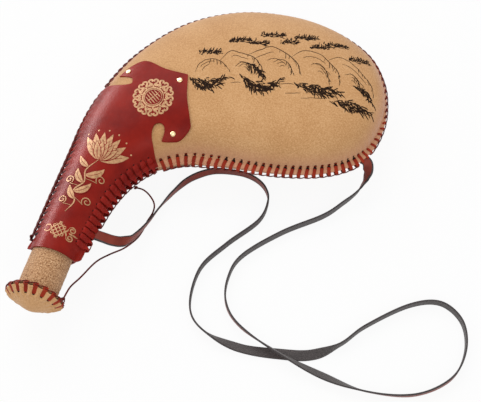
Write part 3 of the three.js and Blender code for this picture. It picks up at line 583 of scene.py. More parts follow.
def shell(outer, thickness, side, inner_step):
    """Points and faces of a closed skin: the given outer face, a coarser inner one and the rim between."""
    rows, columns, _ = outer.shape
    picks = np.unique(np.append(np.arange(0, columns, inner_step), columns - 1))
    inner = (outer - thickness * grid_normals(outer, side))[:, picks]
    top = numbers(rows, columns)
    low = rows * columns + numbers(rows, len(picks))
    faces = quads(top) + quads(low[:, ::-1])
    for end in (0, -1):
        faces += quads(np.column_stack([top[:, end], low[:, end]]))
    for row in (0, -1):
        for n, (first, last) in enumerate(zip(picks[:-1], picks[1:])):
            faces.append([*top[row, first : last + 1].tolist(), int(low[row, n + 1]), int(low[row, n])])
    return np.concatenate([outer.reshape(-1, 3), inner.reshape(-1, 3)]), faces


def sweep(path, up, width, thickness, sides, square, ring=False):
    """Points and faces of a band: a rounded section carried along a path, its flat side facing up."""
    path = np.asarray(path, float)
    tangent = unit(np.roll(path, -1, 0) - np.roll(path, 1, 0) if ring else np.gradient(path, axis=0))
    wide = unit(np.cross(tangent, up))
    over = np.cross(wide, tangent)
    angles = evenly(sides, 0.5)
    x, y = (bent(turn, 2 / square)[:, None] for turn in (np.cos(angles), np.sin(angles)))
    width, thickness = (np.broadcast_to(size, len(path))[:, None, None] / 2 for size in (width, thickness))
    rings = path[:, None] + wide[:, None] * x * width + over[:, None] * y * thickness
    return hoop(rings) if ring else tube(rings)


def tapered(least, place, reach):
    """1, but less towards place 0, where it is the least."""
    return least + (1 - least) * smooth(place, 0, reach)


def eased(path, up):
    """A stitch's line and the way it faces, both smooth."""
    return finer(path, 3), unit(finer(up, 3))


def around(angle, radius, y):
    """Points about the neck's axis."""
    angle, radius, y = np.broadcast_arrays(angle, radius, y)
    return np.stack([NECK_X + radius * np.cos(angle), y, SEAM_HEIGHT + radius * np.sin(angle)], axis=-1)


def lathe(profile, sides):
    """Points and faces of a closed profile, given as radius and y, turned about the neck's axis."""
    radius, y = np.asarray(profile, float).T[..., None]
    return hoop(around(evenly(sides), radius, y))


def disc(place, normal, profile, sides):
    """Points and faces of a round boss on a surface, from rings of radius and height up to a flat top."""
    across = unit(np.cross(normal, DISC_START))
    angles = evenly(sides)
    ring = np.outer(np.cos(angles), across) + np.outer(np.sin(angles), np.cross(normal, across))
    return tube(np.array([place + normal * height + ring * radius for radius, height in profile]))


class Ground:
    """A finished piece as something to lay laces, strokes and rivets on, from above or below."""

    def __init__(self, made):
        mesh = made.data
        self.tree = BVHTree.FromPolygons([v.co for v in mesh.vertices], [p.vertices for p in mesh.polygons])

    def meet(self, plan, side=1):
        """Points and normals on the outer face over a plan; a miss takes its neighbour's height."""
        start = SEAM_HEIGHT + side * RAY_REACH
        hits = [self.tree.ray_cast(Vector((x, y, start)), Vector((0, 0, -side)))[:2] for x, y in plan]
        known = [i for i, hit in enumerate(hits) if hit[0] is not None]
        if not known:
            raise ValueError("a stroke lies off its ground")
        points, normals = [], []
        for i, (x, y) in enumerate(plan):
            near = min(known, key=lambda k: abs(k - i))
            place, normal = hits[near]
            points.append(tuple(place) if near == i else (x, y, place[2]))
            normals.append(tuple(normal))
        return np.array(points), np.array(normals)


# Materials

SPECULAR = "Specular IOR Level"


def fill(tree, node, inputs):
    """Sets a node's inputs; one that is given as another node's output is linked to it."""
    for socket, value in inputs.items():
        if isinstance(value, bpy.types.NodeSocket):
            tree.links.new(value, node.inputs[socket])
        else:
            node.inputs[socket].default_value = value


def add_node(tree, kind, inputs=None, **settings):
    node = tree.nodes.new("ShaderNode" + kind)
    for name, value in settings.items():
        setattr(node, name, value)
    fill(tree, node, inputs or {})
    return node


def rgb(red, green, blue):
    """Linear colour from the 0 to 255 values that a screen shows."""
    shares = [v / 255 for v in (red, green, blue)]
    return tuple(s / 12.92 if s <= 0.04045 else ((s + 0.055) / 1.055) ** 2.4 for s in shares)


class Shader:
    """A node material about one surface shader."""

    def __init__(self, name, fixed):
        self.material = bpy.data.materials.new(name)
        self.material.use_nodes = True
        self.tree = self.material.node_tree
        self.surface = self.tree.nodes["Principled BSDF"]
        fill(self.tree, self.surface, fixed)
        self.place = self.node("TexCoord", "Object")

    def node(self, kind, output, inputs=None, **settings):
        return add_node(self.tree, kind, inputs, **settings).outputs[output]

    def texture(self, scale, detail=None, rough=0.5, stretch=None):
        """Noise with the given detail, or a pattern of cells without."""
        inputs = {"Vector": self.place, "Scale": scale}
        if detail is None:
            return self.node("TexVoronoi", "Distance", inputs)
        if stretch:
            inputs["Vector"] = self.node("Mapping", "Vector", {"Vector": self.place, "Scale": stretch})
        return self.node("TexNoise", "Fac", {**inputs, "Detail": detail, "Roughness": rough})

    def ramp(self, value, stops):
        made = add_node(self.tree, "ValToRGB", {"Fac": value})
        elements = made.color_ramp.elements
        while len(elements) < len(stops):
            elements.new(0.5)
        for element, (place, *colour) in zip(elements, stops):
            element.position = place
            element.color = (*rgb(*colour), 1)
        return made.outputs["Color"]

    def math(self, operation, first, second):
        return self.node("Math", "Value", {0: first, 1: second}, operation=operation)

    def ranged(self, value, low, high):
        return self.node("MapRange", "Result", {"Value": value, "To Min": low, "To Max": high})

    def bump(self, height, distance, strength, after=None):
        inputs = {"Height": height, "Distance": distance * MM, "Strength": strength}
        return self.node("Bump", "Normal", {**inputs, "Normal": after} if after else inputs)

    def finish(self, colour, roughness=None, normal=None):
        inputs = {"Base Color": colour, "Roughness": roughness, "Normal": normal}
        fill(self.tree, self.surface, {name: value for name, value in inputs.items() if value is not None})
        return self.material


def suede(name, edge):
    s = Shader(name, {"Roughness": 0.95, "Sheen Weight": 0.18, "Sheen Roughness": 0.6, SPECULAR: 0.2})
    cloudy = s.texture(28, 3, 0.55)
    fibre = s.texture(780, 3, 0.75)
    tone = s.math("ADD", s.math("MULTIPLY", cloudy, 0.22), s.math("MULTIPLY", fibre, 0.78))
    colour = s.ramp(tone, [(0.3, 172, 122, 74), (0.5, 197, 149, 99), (0.7, 218, 174, 127)])
    # Painted light: near the seams the suede is tinted a lighter pink, standing in for the light on the
    # flatter flange there.
    if edge:
        seam_light = s.node("Attribute", "Fac", attribute_name="seam")
        share = s.math("MULTIPLY", seam_light, s.ranged(cloudy, 0.3, 0.9))
        seam_light_pink = (*rgb(204, 142, 118), 1)
        colour = s.node("MixRGB", "Color", {"Fac": share, "Color1": colour, "Color2": seam_light_pink})
    return s.finish(colour, None, s.bump(s.texture(420, 2), 0.6, 0.2, s.bump(fibre, 0.5, 0.35)))


def red_leather(name, dark, plain, roughness):
    s = Shader(name, {SPECULAR: 0.1})
    colour = s.ramp(s.texture(35, 3, 0.6), [(0.3, *dark), (0.62, *plain)])
    normal = s.bump(s.texture(260, 4, 0.6), 0.35, 0.14, s.bump(s.texture(1100), 0.25, 0.18))
    return s.finish(colour, s.ranged(s.texture(150, 3), roughness - 0.07, roughness + 0.09), normal)


def simple(name, fixed, tone, stops, relief=None, gloss=None):
    """A material with a texture for its colour, and maybe others for its relief and its gloss.

    The relief has its height in millimetres and its strength, the gloss the roughness at its two ends, and
    then each its texture where it isn't the colour's.
    """
    s = Shader(name, fixed)
    main = s.texture(*tone)
    rough, normal = (
        look and make(s.texture(*look[2:]) if look[2:] else main, *look[:2])
        for make, look in ((s.ranged, gloss), (s.bump, relief))
    )
    return s.finish(s.ramp(main, stops), rough, normal)


# The panels' suede has painted light along its seams; the cap's has none.
SUEDE = suede("suede", True)
CAP_SUEDE = suede("cap_suede", False)
RED_LEATHER = red_leather("red_leather", (114, 19, 13), (140, 30, 20), 0.34)
LACE = red_leather("lace", (122, 32, 18), (164, 52, 28), 0.42)
NECK_LACE = red_leather("neck_lace", (118, 20, 15), (148, 33, 24), 0.42)
DARK_LACE = red_leather("dark_lace", (62, 16, 11), (104, 30, 21), 0.5)
STRAP_RED = red_leather("strap_red", (102, 40, 32), (136, 62, 50), 0.4)
RED_PAINT = red_leather("red_paint", (112, 20, 16), (136, 30, 22), 0.45)
# hole: painted shade, for the dark inside of the stitch holes and the stitch ends that dive into them
HOLE_SHADE = red_leather("hole", (26, 8, 8), (44, 14, 13), 0.7)
WELT_LEATHER = red_leather("welt_leather", (92, 30, 28), (132, 52, 46), 0.5)
SPOUT_SUEDE = simple(
    "spout_suede", {"Roughness": 0.95, "Sheen Weight": 0.15, "Sheen Roughness": 0.6, SPECULAR: 0.2},
    (900, 4, 0.75), [(0.34, 104, 62, 32), (0.48, 178, 130, 88), (0.64, 226, 186, 144)], (0.9, 0.6),
)
STRAP_GREY = simple(
    "strap_grey", {"Roughness": 0.9, "Sheen Weight": 0.2, "Sheen Roughness": 0.5},
    (1300, 3, 0.7), [(0.3, 44, 40, 40), (0.7, 98, 91, 90)], (0.5, 0.5),
)
STRAP_EDGE = simple(
    "strap_edge", {"Roughness": 0.6}, (500, 2), [(0.3, 28, 22, 22), (0.7, 52, 42, 42)], (0.3, 0.3, 900, 2)
)
BRASS = simple(
    "brass", {"Metallic": 1}, (300, 3), [(0.3, 226, 190, 138), (0.7, 250, 226, 186)],
    (0.1, 0.15, 900, 2), (0.16, 0.34, 700, 3),
)
GILT = simple(
    "gilt", {"Metallic": 0.25}, (420, 3, 0.6), [(0.32, 150, 108, 70), (0.6, 192, 147, 104)],
    (0.1, 0.2), (0.55, 0.4),
)
INK = simple("ink", {"Roughness": 0.9, SPECULAR: 0.1}, (700, 3, 0.7), [(0.35, 22, 12, 7), (0.75, 52, 34, 22)])
WOOD = simple(
    "wood", {"Roughness": 0.6}, (90, 5, 0.6, (1, 0.12, 1)),
    [(0.35, 138, 96, 54), (0.5, 172, 127, 78), (0.65, 196, 154, 104)], (0.3, 0.2),
)
CORK = simple(
    "cork", {"Roughness": 0.9}, (300, 4, 0.7),
    [(0.32, 110, 74, 42), (0.5, 182, 140, 94), (0.7, 206, 168, 120)], (0.6, 0.4, 420),
)
LINER = simple(
    "liner", {"Subsurface Weight": 0.1}, (60, 2), [(0.3, 216, 212, 198), (0.7, 236, 233, 222)],
    (0.1, 0.1, 350, 2), (0.4, 0.55, 200, 2),
)


# Camera, light and floor


def make_camera():
    data = bpy.data.cameras.new("camera")
    data.lens = CAMERA_LENS
    data.sensor_width = CAMERA_SENSOR
    data.clip_end = CAMERA_REACH
    camera = linked("camera", data)
    camera.location = CAMERA_PLACE
    camera.rotation_euler = CAMERA_TURN
    bpy.context.scene.camera = camera


def end_stage(owner, output, lit, seen, share=1):
    """A node tree with one shader for the light on things and one for what camera, mirrors and glass see."""
    owner.use_nodes = True
    tree = owner.node_tree
    tree.nodes.clear()
    path = add_node(tree, "LightPath").outputs
    fac = path["Is Camera Ray"]
    for name in ("Is Glossy Ray", "Is Transmission Ray"):
        fac = add_node(tree, "Math", {0: fac, 1: path[name]}, operation="MAXIMUM").outputs["Value"]
    if share < 1:
        fac = add_node(tree, "Math", {0: fac, 1: share}, operation="MULTIPLY").outputs["Value"]
    shaders = [add_node(tree, kind, inputs).outputs[0] for kind, inputs in (lit, seen)]
    mix = add_node(tree, "MixShader", {"Fac": fac, 1: shaders[0], 2: shaders[1]})
    add_node(tree, output, {"Surface": mix.outputs[0]})


def make_world():
    world = bpy.data.worlds.new("studio")
    lit, seen = (("Background", {"Color": (1, 1, 1, 1), "Strength": power}) for power in (WORLD_LIGHT, 1))
    end_stage(world, "OutputWorld", lit, seen)
    bpy.context.scene.world = world


def make_light(name, place, size, power, aim=BODY_AIM, only_gloss=False):
    data = bpy.data.lights.new(name, "AREA")
    data.energy = power
    data.size = size
    light = linked(name, data)
    light.location = place
    light.visible_diffuse = not only_gloss
    light.rotation_euler = (Vector(aim) - Vector(place)).to_track_quat("-Z", "Y").to_euler()


def make_floor():
    """A white floor that keeps part of the shadow."""
    material = bpy.data.materials.new("floor")
    matt = ("BsdfDiffuse", {"Color": (FLOOR_GREY, FLOOR_GREY, FLOOR_GREY, 1)})
    end_stage(material, "OutputMaterial", matt, ("Emission", {}), FLOOR_WHITE)
    mesh = bpy.data.meshes.new("floor")
    corners = [(x * FLOOR_REACH, y * FLOOR_REACH, 0) for x, y in ((-1, -1), (1, -1), (1, 1), (-1, 1))]
    mesh.from_pydata(corners, [], [(0, 1, 2, 3)])
    mesh.materials.append(material)
    floor = linked("floor", mesh)
    floor.location.z = FLOOR_HEIGHT


make_camera()
make_world()
make_light("key", (-0.75, 1.05, 1.7), 1.6, 21)
make_light("side", (-1.5, -0.35, 0.8), 1.4, 5)
make_light("front", (0.7, -1.4, 1.5), 1.2, 9)
make_light("gloss", (-1.25, 0.25, 0.08), 0.9, 34, SLEEVE_AIM, True)
make_floor()
bpy.context.scene.view_settings.view_transform = "Standard"


# Strap and tether


def make_strap():
    places = np.linspace(0, len(STRAP_ROUTE) - 1, STRAP_STEPS + 1)
    line = spline(STRAP_ROUTE[:, :3], places)
    before = np.minimum(places.astype(int), len(STRAP_ROUTE) - 2)
    share = smooth(places - before, 0, 1)
    roll = STRAP_ROUTE[before, 3] * (1 - share) + STRAP_ROUTE[before + 1, 3] * share
    roll = np.radians(roll)[:, None]
    tangent = unit(np.gradient(line, axis=0))
    right = unit(np.cross(tangent, UP))
    grey = np.cross(right, tangent) * np.cos(roll) + right * np.sin(roll)
    by_side = [2] * 2 + [1] * 4 + [2] * 5 + [0] * 2 + [2] * 3
    band = sweep(line, grey, STRAP_WIDTH, STRAP_THICKNESS, len(by_side), STRAP_SQUARE)
    slots = by_side * STRAP_STEPS + [2, 2]
    leathers = [STRAP_RED, STRAP_GREY, STRAP_EDGE]
    strap = dress("shoulder_strap", "band", "bag", "strap", leathers, (*band, slots))


def make_tether():
    line = curve(TETHER_ROUTE, TETHER_STEPS)
    band = sweep(line, UP, TETHER_DIAMETER, TETHER_DIAMETER * TETHER_FLATNESS, CORD_SIDES, TETHER_SQUARE)
    tether = piece("stopper_tether_thong", [DARK_LACE], band)
    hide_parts("stopper_tether")
    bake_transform(tether)


make_strap()
make_tether()


# Panels and sleeves


def panel_tuck(station, side):
    """How far a panel's edges lie inside the seam: under the sleeve, and behind along the belly."""
    lasts = (SLEEVE_TOP_LEFT, SLEEVE_TOP_RIGHT if side > 0 else BACK_TUCK_STATION)
    left, right = (TUCK * (1 - smooth(station, last - TUCK_FADE, last)) for last in lasts)
    if side > 0:
        right = right - hump(station, OVERHANG_START, OVERHANG_END, FRONT_OVERHANG)
    drawn = left_neck_tuck(station) * (FRONT_TUCK_SHARE if side > 0 else BACK_TUCK_SHARE)
    return np.maximum(left, drawn), right


def make_panel(node, side):
    station = np.linspace(PANEL_FIRST_STATION, PANEL_LAST_STATION, PANEL_ROWS)
    grid = far_end(layer(station, side, 0, PANEL_LEDGE, panel_tuck(station, side)), side)
    grid = gathered(grid, side, BODY_PUCKER)
    if side > 0:
        grid = slack(grid)
    panel = piece(node + "_suede", [SUEDE], shell(grid, PANEL_THICKNESS, side, INNER_STEP))
    gaps = seam_coordinates(np.array([v.co for v in panel.data.vertices]))[1]
    # The seam attribute carries the painted light: 1 at the seam, fading to 0 away from it.
    seam_light = panel.data.attributes.new("seam", "FLOAT", "POINT")
    seam_light.data.foreach_set("value", 1 - smooth(gaps, 0, SEAM_LIGHT_REACH))
    return Ground(worn(panel, "bag", node))


def sleeve_cutter(side):
    """A block with the sleeve's outline."""
    outline = [SLEEVE_EDGE_START]
    for stretch in SLEEVE_EDGE:
        outline += [tuple(p) for p in finer([outline[-1], *stretch], EDGE_STEPS)[1:]]
    outline = MM * np.array([*outline, *(FRONT_EDGE_FINISH if side > 0 else BACK_EDGE_FINISH)])
    low, high = index = numbers(2, len(outline))
    points = [(x, y, z) for z in CUTTER_HEIGHTS for x, y in outline]
    return piece("sleeve_cutter", [], (points, [low[::-1].tolist(), high.tolist(), *quads(index, True)]))


def make_sleeve(node, side):
    station = np.linspace(0, SLEEVE_LAST_STATION + SLEEVE_SPARE, SLEEVE_ROWS)
    tuck = left_neck_tuck(station) * (1 if side > 0 else BACK_SLEEVE_SHARE)
    grid = layer(station, side, SLEEVE_LAYER, SLEEVE_LEDGE, (tuck, 0))
    if side > 0:
        near_mouth = 1 - smooth(station, 0, FRONT_LIP_STATION)[:, None]
        across = np.linspace(-1, 1, grid.shape[1])
        flare = np.where(across < 0, FLARE_LEFT, FLARE_RIGHT) * smooth(np.abs(across), FLARE_START, 1)
        grid[..., 0] += flare * near_mouth
        grid[..., 1] -= FRONT_LIP * near_mouth
    grid = gathered(grid, side, NECK_PUCKER)
    whole = piece("sleeve_blank", [], shell(grid, SLEEVE_THICKNESS, side, 1))
    trim = whole.modifiers.new("trim", "BOOLEAN")
    trim.operation = "INTERSECT"
    trim.solver = "MANIFOLD"
    trim.object = cutter = sleeve_cutter(side)
    mesh = bpy.data.meshes.new_from_object(whole.evaluated_get(bpy.context.evaluated_depsgraph_get()))
    for spare in (whole, cutter):
        bpy.data.objects.remove(spare)
    sleeve = finished(node + "_leather", mesh, [RED_LEATHER], SLEEVE_CREASE)
    return Ground(worn(sleeve, "bag", node))


FRONT_GROUND = make_panel("front_panel", 1)
BACK_GROUND = make_panel("back_panel", -1)
SLEEVE_GROUND = make_sleeve("neck_sleeve_front", 1)
SLEEVE_BACK_GROUND = make_sleeve("neck_sleeve_back", -1)


# Lacing of the seam

BAR_SHARES = np.array([1.12, 1.0, 0.85, 0.65, 0.45, 0.22, 0.05])
BAR_LIFTS = np.array([-0.9, 0.15, 0.5, 0.55, 0.5, 0.5, 0.45])
TURN_SHARES = np.array([0.75, 0.3, -0.3, -0.75])
# Dark discs of painted shade that stand for the inside of the stitch holes
HOLE_SHADE_PROFILE = MM * np.array([(1.25, -0.3), (1.25, 0.06), (0.7, 0.2)])
HOLE_SHADE_SIDES = 10
LEAST_HOLE_DEPTH = 5 * MM
# Steps at a stitch's front end that take the painted shade of its hole
SHADED_STEPS = 7
DARK_LAST_PLACE = 12.4
WIDE_STITCH = 4 * MM
WIDE_HOLE_SHARE = 0.65
ALONG_CORD = np.linspace(-0.12, 1.12, 13)
CORD_BOW = 0.4 * MM
CORD_RISE = 1.1 * MM
CORD_FLATNESS = 0.85
RIM_INSET = 0.2 * MM
TURN_ROUND = 0.8 * MM
TIP_REACH = 1.6 * MM
PINCH = 0.6
PINCHED_WIDTHS = (3.6 * MM, 5.2 * MM)
PINCHED_STRETCH = (0.3, 0.42)
BAR_TAPER, BAR_TAPER_REACH = 0.65, 5

# How a stitch follows the leather that is drawn back, by the length that it is drawn
DRAWN_TOP, DRAWN_RIM, DRAWN_HEIGHT, DRAWN_CORD = 0.8, 0.35, 0.16 / MM, 0.21


def at(arc):
    """Place along the seam, its point, the way in from the edge and the style of lacing there."""
    place = place_at(arc)
    return place, seam(place)[0], seam_inward(place)[0], style(place)


def stitch_thickness(kind):
    return np.maximum(LACE_THICKNESS, STITCH_FULLNESS * kind.width)


def bar_half(arc, depth, lean, ground, side, least=0):
    """Points of a stitch from its hole to the edge, on one face of the seam, with the way they face."""
    _, edge, inward, kind = at(arc)
    run = np.array([-inward[1], inward[0]])
    plan = edge + np.outer(np.maximum(depth * BAR_SHARES, least), inward) + np.outer(lean * BAR_SHARES, run)
    points, up = ground.meet(plan, side)
    return points + up * (stitch_thickness(kind) * BAR_LIFTS)[:, None], up


def bar_path(arc, over, under):
    """Line of one stitch, from its hole in front round the edge to its hole behind, with the way it faces.

    On the left of the neck it follows the leather that is drawn back from the edge.
    """
    place, edge, inward, kind = at(arc)
    drawn = left_neck_tuck(place)
    top, top_up = bar_half(arc, kind.depth, kind.lean, over, 1, DRAWN_TOP * drawn)
    low, low_up = bar_half(arc, STITCH_BACK, BACK_LEAN * kind.lean, under, -1, drawn)
    out = np.append(-inward, 0)
    rim = np.append(edge, SEAM_HEIGHT) + out * (kind.cord_offset - RIM_INSET - DRAWN_RIM * drawn)
    half = (top[-1, 2] - low[-1, 2]) / 2 * (1 - DRAWN_HEIGHT * drawn)
    back = np.abs(TURN_SHARES) ** 3 * TURN_ROUND + np.maximum(-TURN_SHARES, 0) * drawn
    turn = rim + np.outer(half * TURN_SHARES, UP) - np.outer(back, out)
    turn_up = unit(out + np.outer(TURN_SHARES, UP))
    return eased(np.vstack([top, turn, low[::-1]]), np.vstack([top_up, turn_up, low_up[::-1]]))


def edge_cord(first, last):
    """The cord along the edge from one stitch to the next, over the one and under the other."""
    place = place_at(first + (last - first) * ALONG_CORD)
    kind = style(place)
    share = math.pi * np.clip(ALONG_CORD, 0, 1)
    plan = seam(place) - seam_inward(place) * (kind.cord_offset + CORD_BOW * np.sin(share))[:, None]
    rise = CORD_RISE - DRAWN_CORD * left_neck_tuck(place)
    path = np.column_stack([plan, SEAM_HEIGHT + rise * np.cos(share)])
    width = 2 * kind.cord_radius
    return sweep(path, UP, width, CORD_FLATNESS * width, CORD_SIDES, CORD_SQUARE)


def stitch_hole_shades(arc, over):
    """A dark disc of painted shade where a stitch ends in its hole in front, where the stitch is deep enough
    to show.
    """
    kind = at(arc)[3]
    if kind.depth <= LEAST_HOLE_DEPTH:
        return []
    points, up = bar_half(arc, kind.depth, kind.lean, over, 1)
    place = points[0] - up[0] * (stitch_thickness(kind) * BAR_LIFTS[0])
    size = WIDE_HOLE_SHARE if kind.width > WIDE_STITCH else 1
    return [(*disc(place, up[0], HOLE_SHADE_PROFILE * (size, 1), HOLE_SHADE_SIDES), 1)]


def strap_stitch(arc, over, under):
    """A stitch that holds a strap's end: it stops on the strap, in front and behind."""
    _, edge, inward, kind = at(arc)
    out = np.append(-inward, 0)
    parts = []
    for ground, side, depth in ((over, 1, kind.depth), (under, -1, STITCH_BACK)):
        points, up = bar_half(arc, depth, side * kind.lean, ground, side)
        tip = np.append(edge, SEAM_HEIGHT) + out * TIP_REACH + side * STRAP_THICKNESS / 2 * UP
        path, up = eased(np.vstack([points, tip]), np.vstack([up, unit(out + side * UP)]))
        parts.append(sweep(path, up, kind.width, stitch_thickness(kind), BAR_SIDES, BAR_SQUARE))
    return parts + stitch_hole_shades(arc, over)


def make_lacing(node, arcs, lace, over, under):
    parts = []
    for arc in arcs:
        place, _, _, kind = at(arc)
        path, up = bar_path(arc, over, under)
        ends = from_ends(path)
        pinch = PINCH * smooth(kind.width, *PINCHED_WIDTHS)
        taper = tapered(BAR_TAPER, ends, BAR_TAPER_REACH)
        taper *= 1 - pinch * smooth(ends, *(share * len(path) for share in PINCHED_STRETCH))
        bar = sweep(path, up, kind.width * taper, stitch_thickness(kind) * taper, BAR_SIDES, BAR_SQUARE)
        slots = np.full(len(bar[1]), 2 if place < DARK_LAST_PLACE else 0)
        # The stitch's end at its hole takes the painted shade of the hole.
        if kind.depth > LEAST_HOLE_DEPTH and not pinch:
            slots[: SHADED_STEPS * BAR_SIDES] = 1
        parts += [(*bar, slots.tolist()), *stitch_hole_shades(arc, over)]
    parts += [(*edge_cord(first, last), 2) for first, last in zip(arcs[:-1], arcs[1:])]
    for arc in STRAP_STITCHES.get(node, []):
        parts += strap_stitch(arc, over, under)
    dress(node, "thong", "bag", "lace", [lace, HOLE_SHADE, DARK_LACE], *parts)


for node, arcs in RUNS.items():
    if node in ("lace_crown", "lace_belly"):
        make_lacing(node, arcs, LACE, FRONT_GROUND, BACK_GROUND)
    else:
        make_lacing(node, arcs, NECK_LACE, SLEEVE_GROUND, SLEEVE_BACK_GROUND)


# Welts between the panels' edges

WELT_THICKNESS = 1.6 * MM
WELT_WIDTH = 4.2 * MM
WELT_INSET = 1.8 * MM
WELT_STEP = 2 * MM
WELT_SIDES, WELT_SQUARE = 10, 3.4
WELT_ROOM = STRAP_WIDTH / 2 + 0.4 * MM
WELTS = {
    "welt_crown": (arc_of(LACE_START_STATION), STRAP_BODY_ARC - WELT_ROOM),
    "welt_belly": (STRAP_BODY_ARC + WELT_ROOM, STRAP_NECK_ARC - WELT_ROOM),
    "welt_mouth": (STRAP_NECK_ARC + WELT_ROOM, arc_of(LAST_PLACE - PANEL_FIRST_STATION)),
}
for node, (first, last) in WELTS.items():
    place = place_at(np.linspace(first, last, round((last - first) / WELT_STEP)))
    inset = WELT_WIDTH / 2 + np.maximum(WELT_INSET, BACK_TUCK_SHARE * left_neck_tuck(place))
    line = seam(place) + seam_inward(place) * inset[:, None]
    path = np.column_stack([line, np.full(len(line), SEAM_HEIGHT)])
    strip = sweep(path, UP, WELT_WIDTH, WELT_THICKNESS, WELT_SIDES, WELT_SQUARE)
    dress(node, "strip", "bag", "red_leather", [WELT_LEATHER], strip)


# Rivets

STUD_PROFILE = MM * np.array([
    (2.5, -0.3), (2.6, 0.25), (2.5, 0.65), (2.15, 1.05), (1.6, 1.38), (0.9, 1.58), (0.3, 1.64),
])
STUD_SIDES = 28
RIVET_ENDS = ("left", "apex", "right")
for end in RIVET_ENDS:
    node = f"rivet_{end}"
    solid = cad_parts[node]
    corners = np.array([solid.matrix_world @ v.co for v in solid.data.vertices])
    points, up = SLEEVE_GROUND.meet([(corners.min(0) + corners.max(0))[:2] / 2])
    dress(node, "head", "bag", "brass", [BRASS], disc(points[0], up[0], STUD_PROFILE, STUD_SIDES))


# Spout and nozzle

SPOUT_WALL = 2.6 * MM
SPOUT_END_Y = -252.5 * MM
SPOUT_TOP_Y = MOUTH_Y + 24 * MM
BORE_RADIUS = 13.3 * MM
NOZZLE_RADIUS = 14.9 * MM
NOZZLE_TOP_Y = -159 * MM
SPOUT_ROWS, SPOUT_SIDES, NOZZLE_SIDES = 70, 120, 72
NAP_FADE = 3 * MM
NAP_SIZE = 1.6 * MM
NAP_HEIGHT = 0.3 * MM


def nap(points):
    """Rough unevenness of napped leather, as lengths to move the points by."""
    spots = [Vector(p) for p in points.reshape(-1, 3) / NAP_SIZE]
    values = [noise.noise(p) + 0.5 * noise.noise(p * 2.3) for p in spots]
    return NAP_HEIGHT * np.array(values).reshape(points.shape[:-1])


def make_spout():
    inside = SPOUT_RADIUS - SPOUT_WALL
    base, lip = SPOUT_END_Y + 0.8 * MM, SPOUT_END_Y + 0.1 * MM
    outer = [(SPOUT_RADIUS, y) for y in np.linspace(SPOUT_TOP_Y, base, SPOUT_ROWS)]
    inner = [(SPOUT_RADIUS - 0.5 * MM, lip), (inside + 0.6 * MM, lip), (inside, base), (inside, SPOUT_TOP_Y)]
    points, faces = lathe([*outer, *inner], SPOUT_SIDES)
    seen = points[: len(outer)]
    away = unit(seen * (1, 0, 1) - NECK_AXIS)
    shown = smooth(-seen[..., 1], -MOUTH_Y, -MOUTH_Y + NAP_FADE)
    points[: len(outer)] = seen + away * (nap(seen) * shown)[..., None]
    dress("spout_wrap", "suede", "bag", "spout_suede", [SPOUT_SUEDE], (points, faces))


def make_nozzle():
    lip, edge = SPOUT_END_Y + 0.2 * MM, 0.4 * MM
    profile = [
        (NOZZLE_RADIUS, NOZZLE_TOP_Y), (NOZZLE_RADIUS, lip + 0.6 * MM), (NOZZLE_RADIUS - edge, lip),
        (BORE_RADIUS + edge, lip), (BORE_RADIUS, lip + 0.6 * MM), (BORE_RADIUS, NOZZLE_TOP_Y),
    ]
    dress("liner_nozzle", "tube", "bag", "liner", [LINER], lathe(profile, NOZZLE_SIDES))


make_spout()
make_nozzle()


# Stopper

CAP_RADIUS = 24.5 * MM
CAP_RIM_Y = -255.4 * MM
CAP_END_Y = -267.2 * MM
CAP_UNDER_Y = -252.8 * MM
CAP_THICKNESS = 1.4 * MM
CAP_SHAPE = 1.6
CAP_TILT = math.radians(3)
CAP_CURL = 2.8 * MM
CAP_SHIFT = 0.9 * MM
CAP_SIDES = 288
CAP_PUFF = 1.7 * MM
CAP_LOBE = 1.0 * MM
CAP_RINGS = np.linspace(0, 1, 34) ** 0.8
CAP_STITCHES = 18
CAP_STITCH_WIDTH = 4.6 * MM
CAP_HOLE_RADIUS = 20.2 * MM
CAP_TAPER = 0.7
CAP_CORD_WIDTH = 1.1 * MM
SEAL_RADIUS = 13.0 * MM
SEAL_TOP_Y = -225.8 * MM
SEAL_BASE_Y = -247.8 * MM
PLUG_RADIUS = 10.4 * MM
PLUG_TIP_Y = -222.5 * MM
HEAD_TOP_Y = -254.5 * MM
HEAD_RADIUS = 20 * MM
PLUG_SIDES = 64


def cap_height(radius):
    """Place along the neck's axis of the cap's outer face."""
    return CAP_RIM_Y + (CAP_END_Y - CAP_RIM_Y) * (1 - np.clip(radius / CAP_RADIUS, 0, 1) ** CAP_SHAPE)


def askew(points):
    """Points of the cap as it sits on the spout, turned to one side and curled back above and below."""
    x, y, z = (points - np.array([NECK_X, CAP_UNDER_Y, SEAM_HEIGHT])).T
    radius = np.maximum(np.hypot(x, z), MM)
    y = y + CAP_CURL * smooth(radius, SPOUT_RADIUS, CAP_RADIUS) * (z / radius) ** 2
    cos, sin = math.cos(CAP_TILT), math.sin(CAP_TILT)
    x, y = x * cos - y * sin, x * sin + y * cos
    return np.stack([NECK_X + x, CAP_UNDER_Y - CAP_SHIFT + y, SEAM_HEIGHT + z]).T


def lobed(points):
    """The cap's leather, puffed out between its stitches and drawn in at them."""
    x, z = points[..., 0] - NECK_X, points[..., 2] - SEAM_HEIGHT
    radius = np.hypot(x, z)
    wave = 0.5 - 0.5 * np.cos(CAP_STITCHES * np.arctan2(z, x))
    near_rim = smooth(radius, 0.5 * CAP_RADIUS, 0.9 * CAP_RADIUS)
    wide = 1 + CAP_LOBE * wave * near_rim / np.maximum(radius, MM)
    return np.dstack([NECK_X + x * wide, points[..., 1] - CAP_PUFF * wave * near_rim, SEAM_HEIGHT + z * wide])


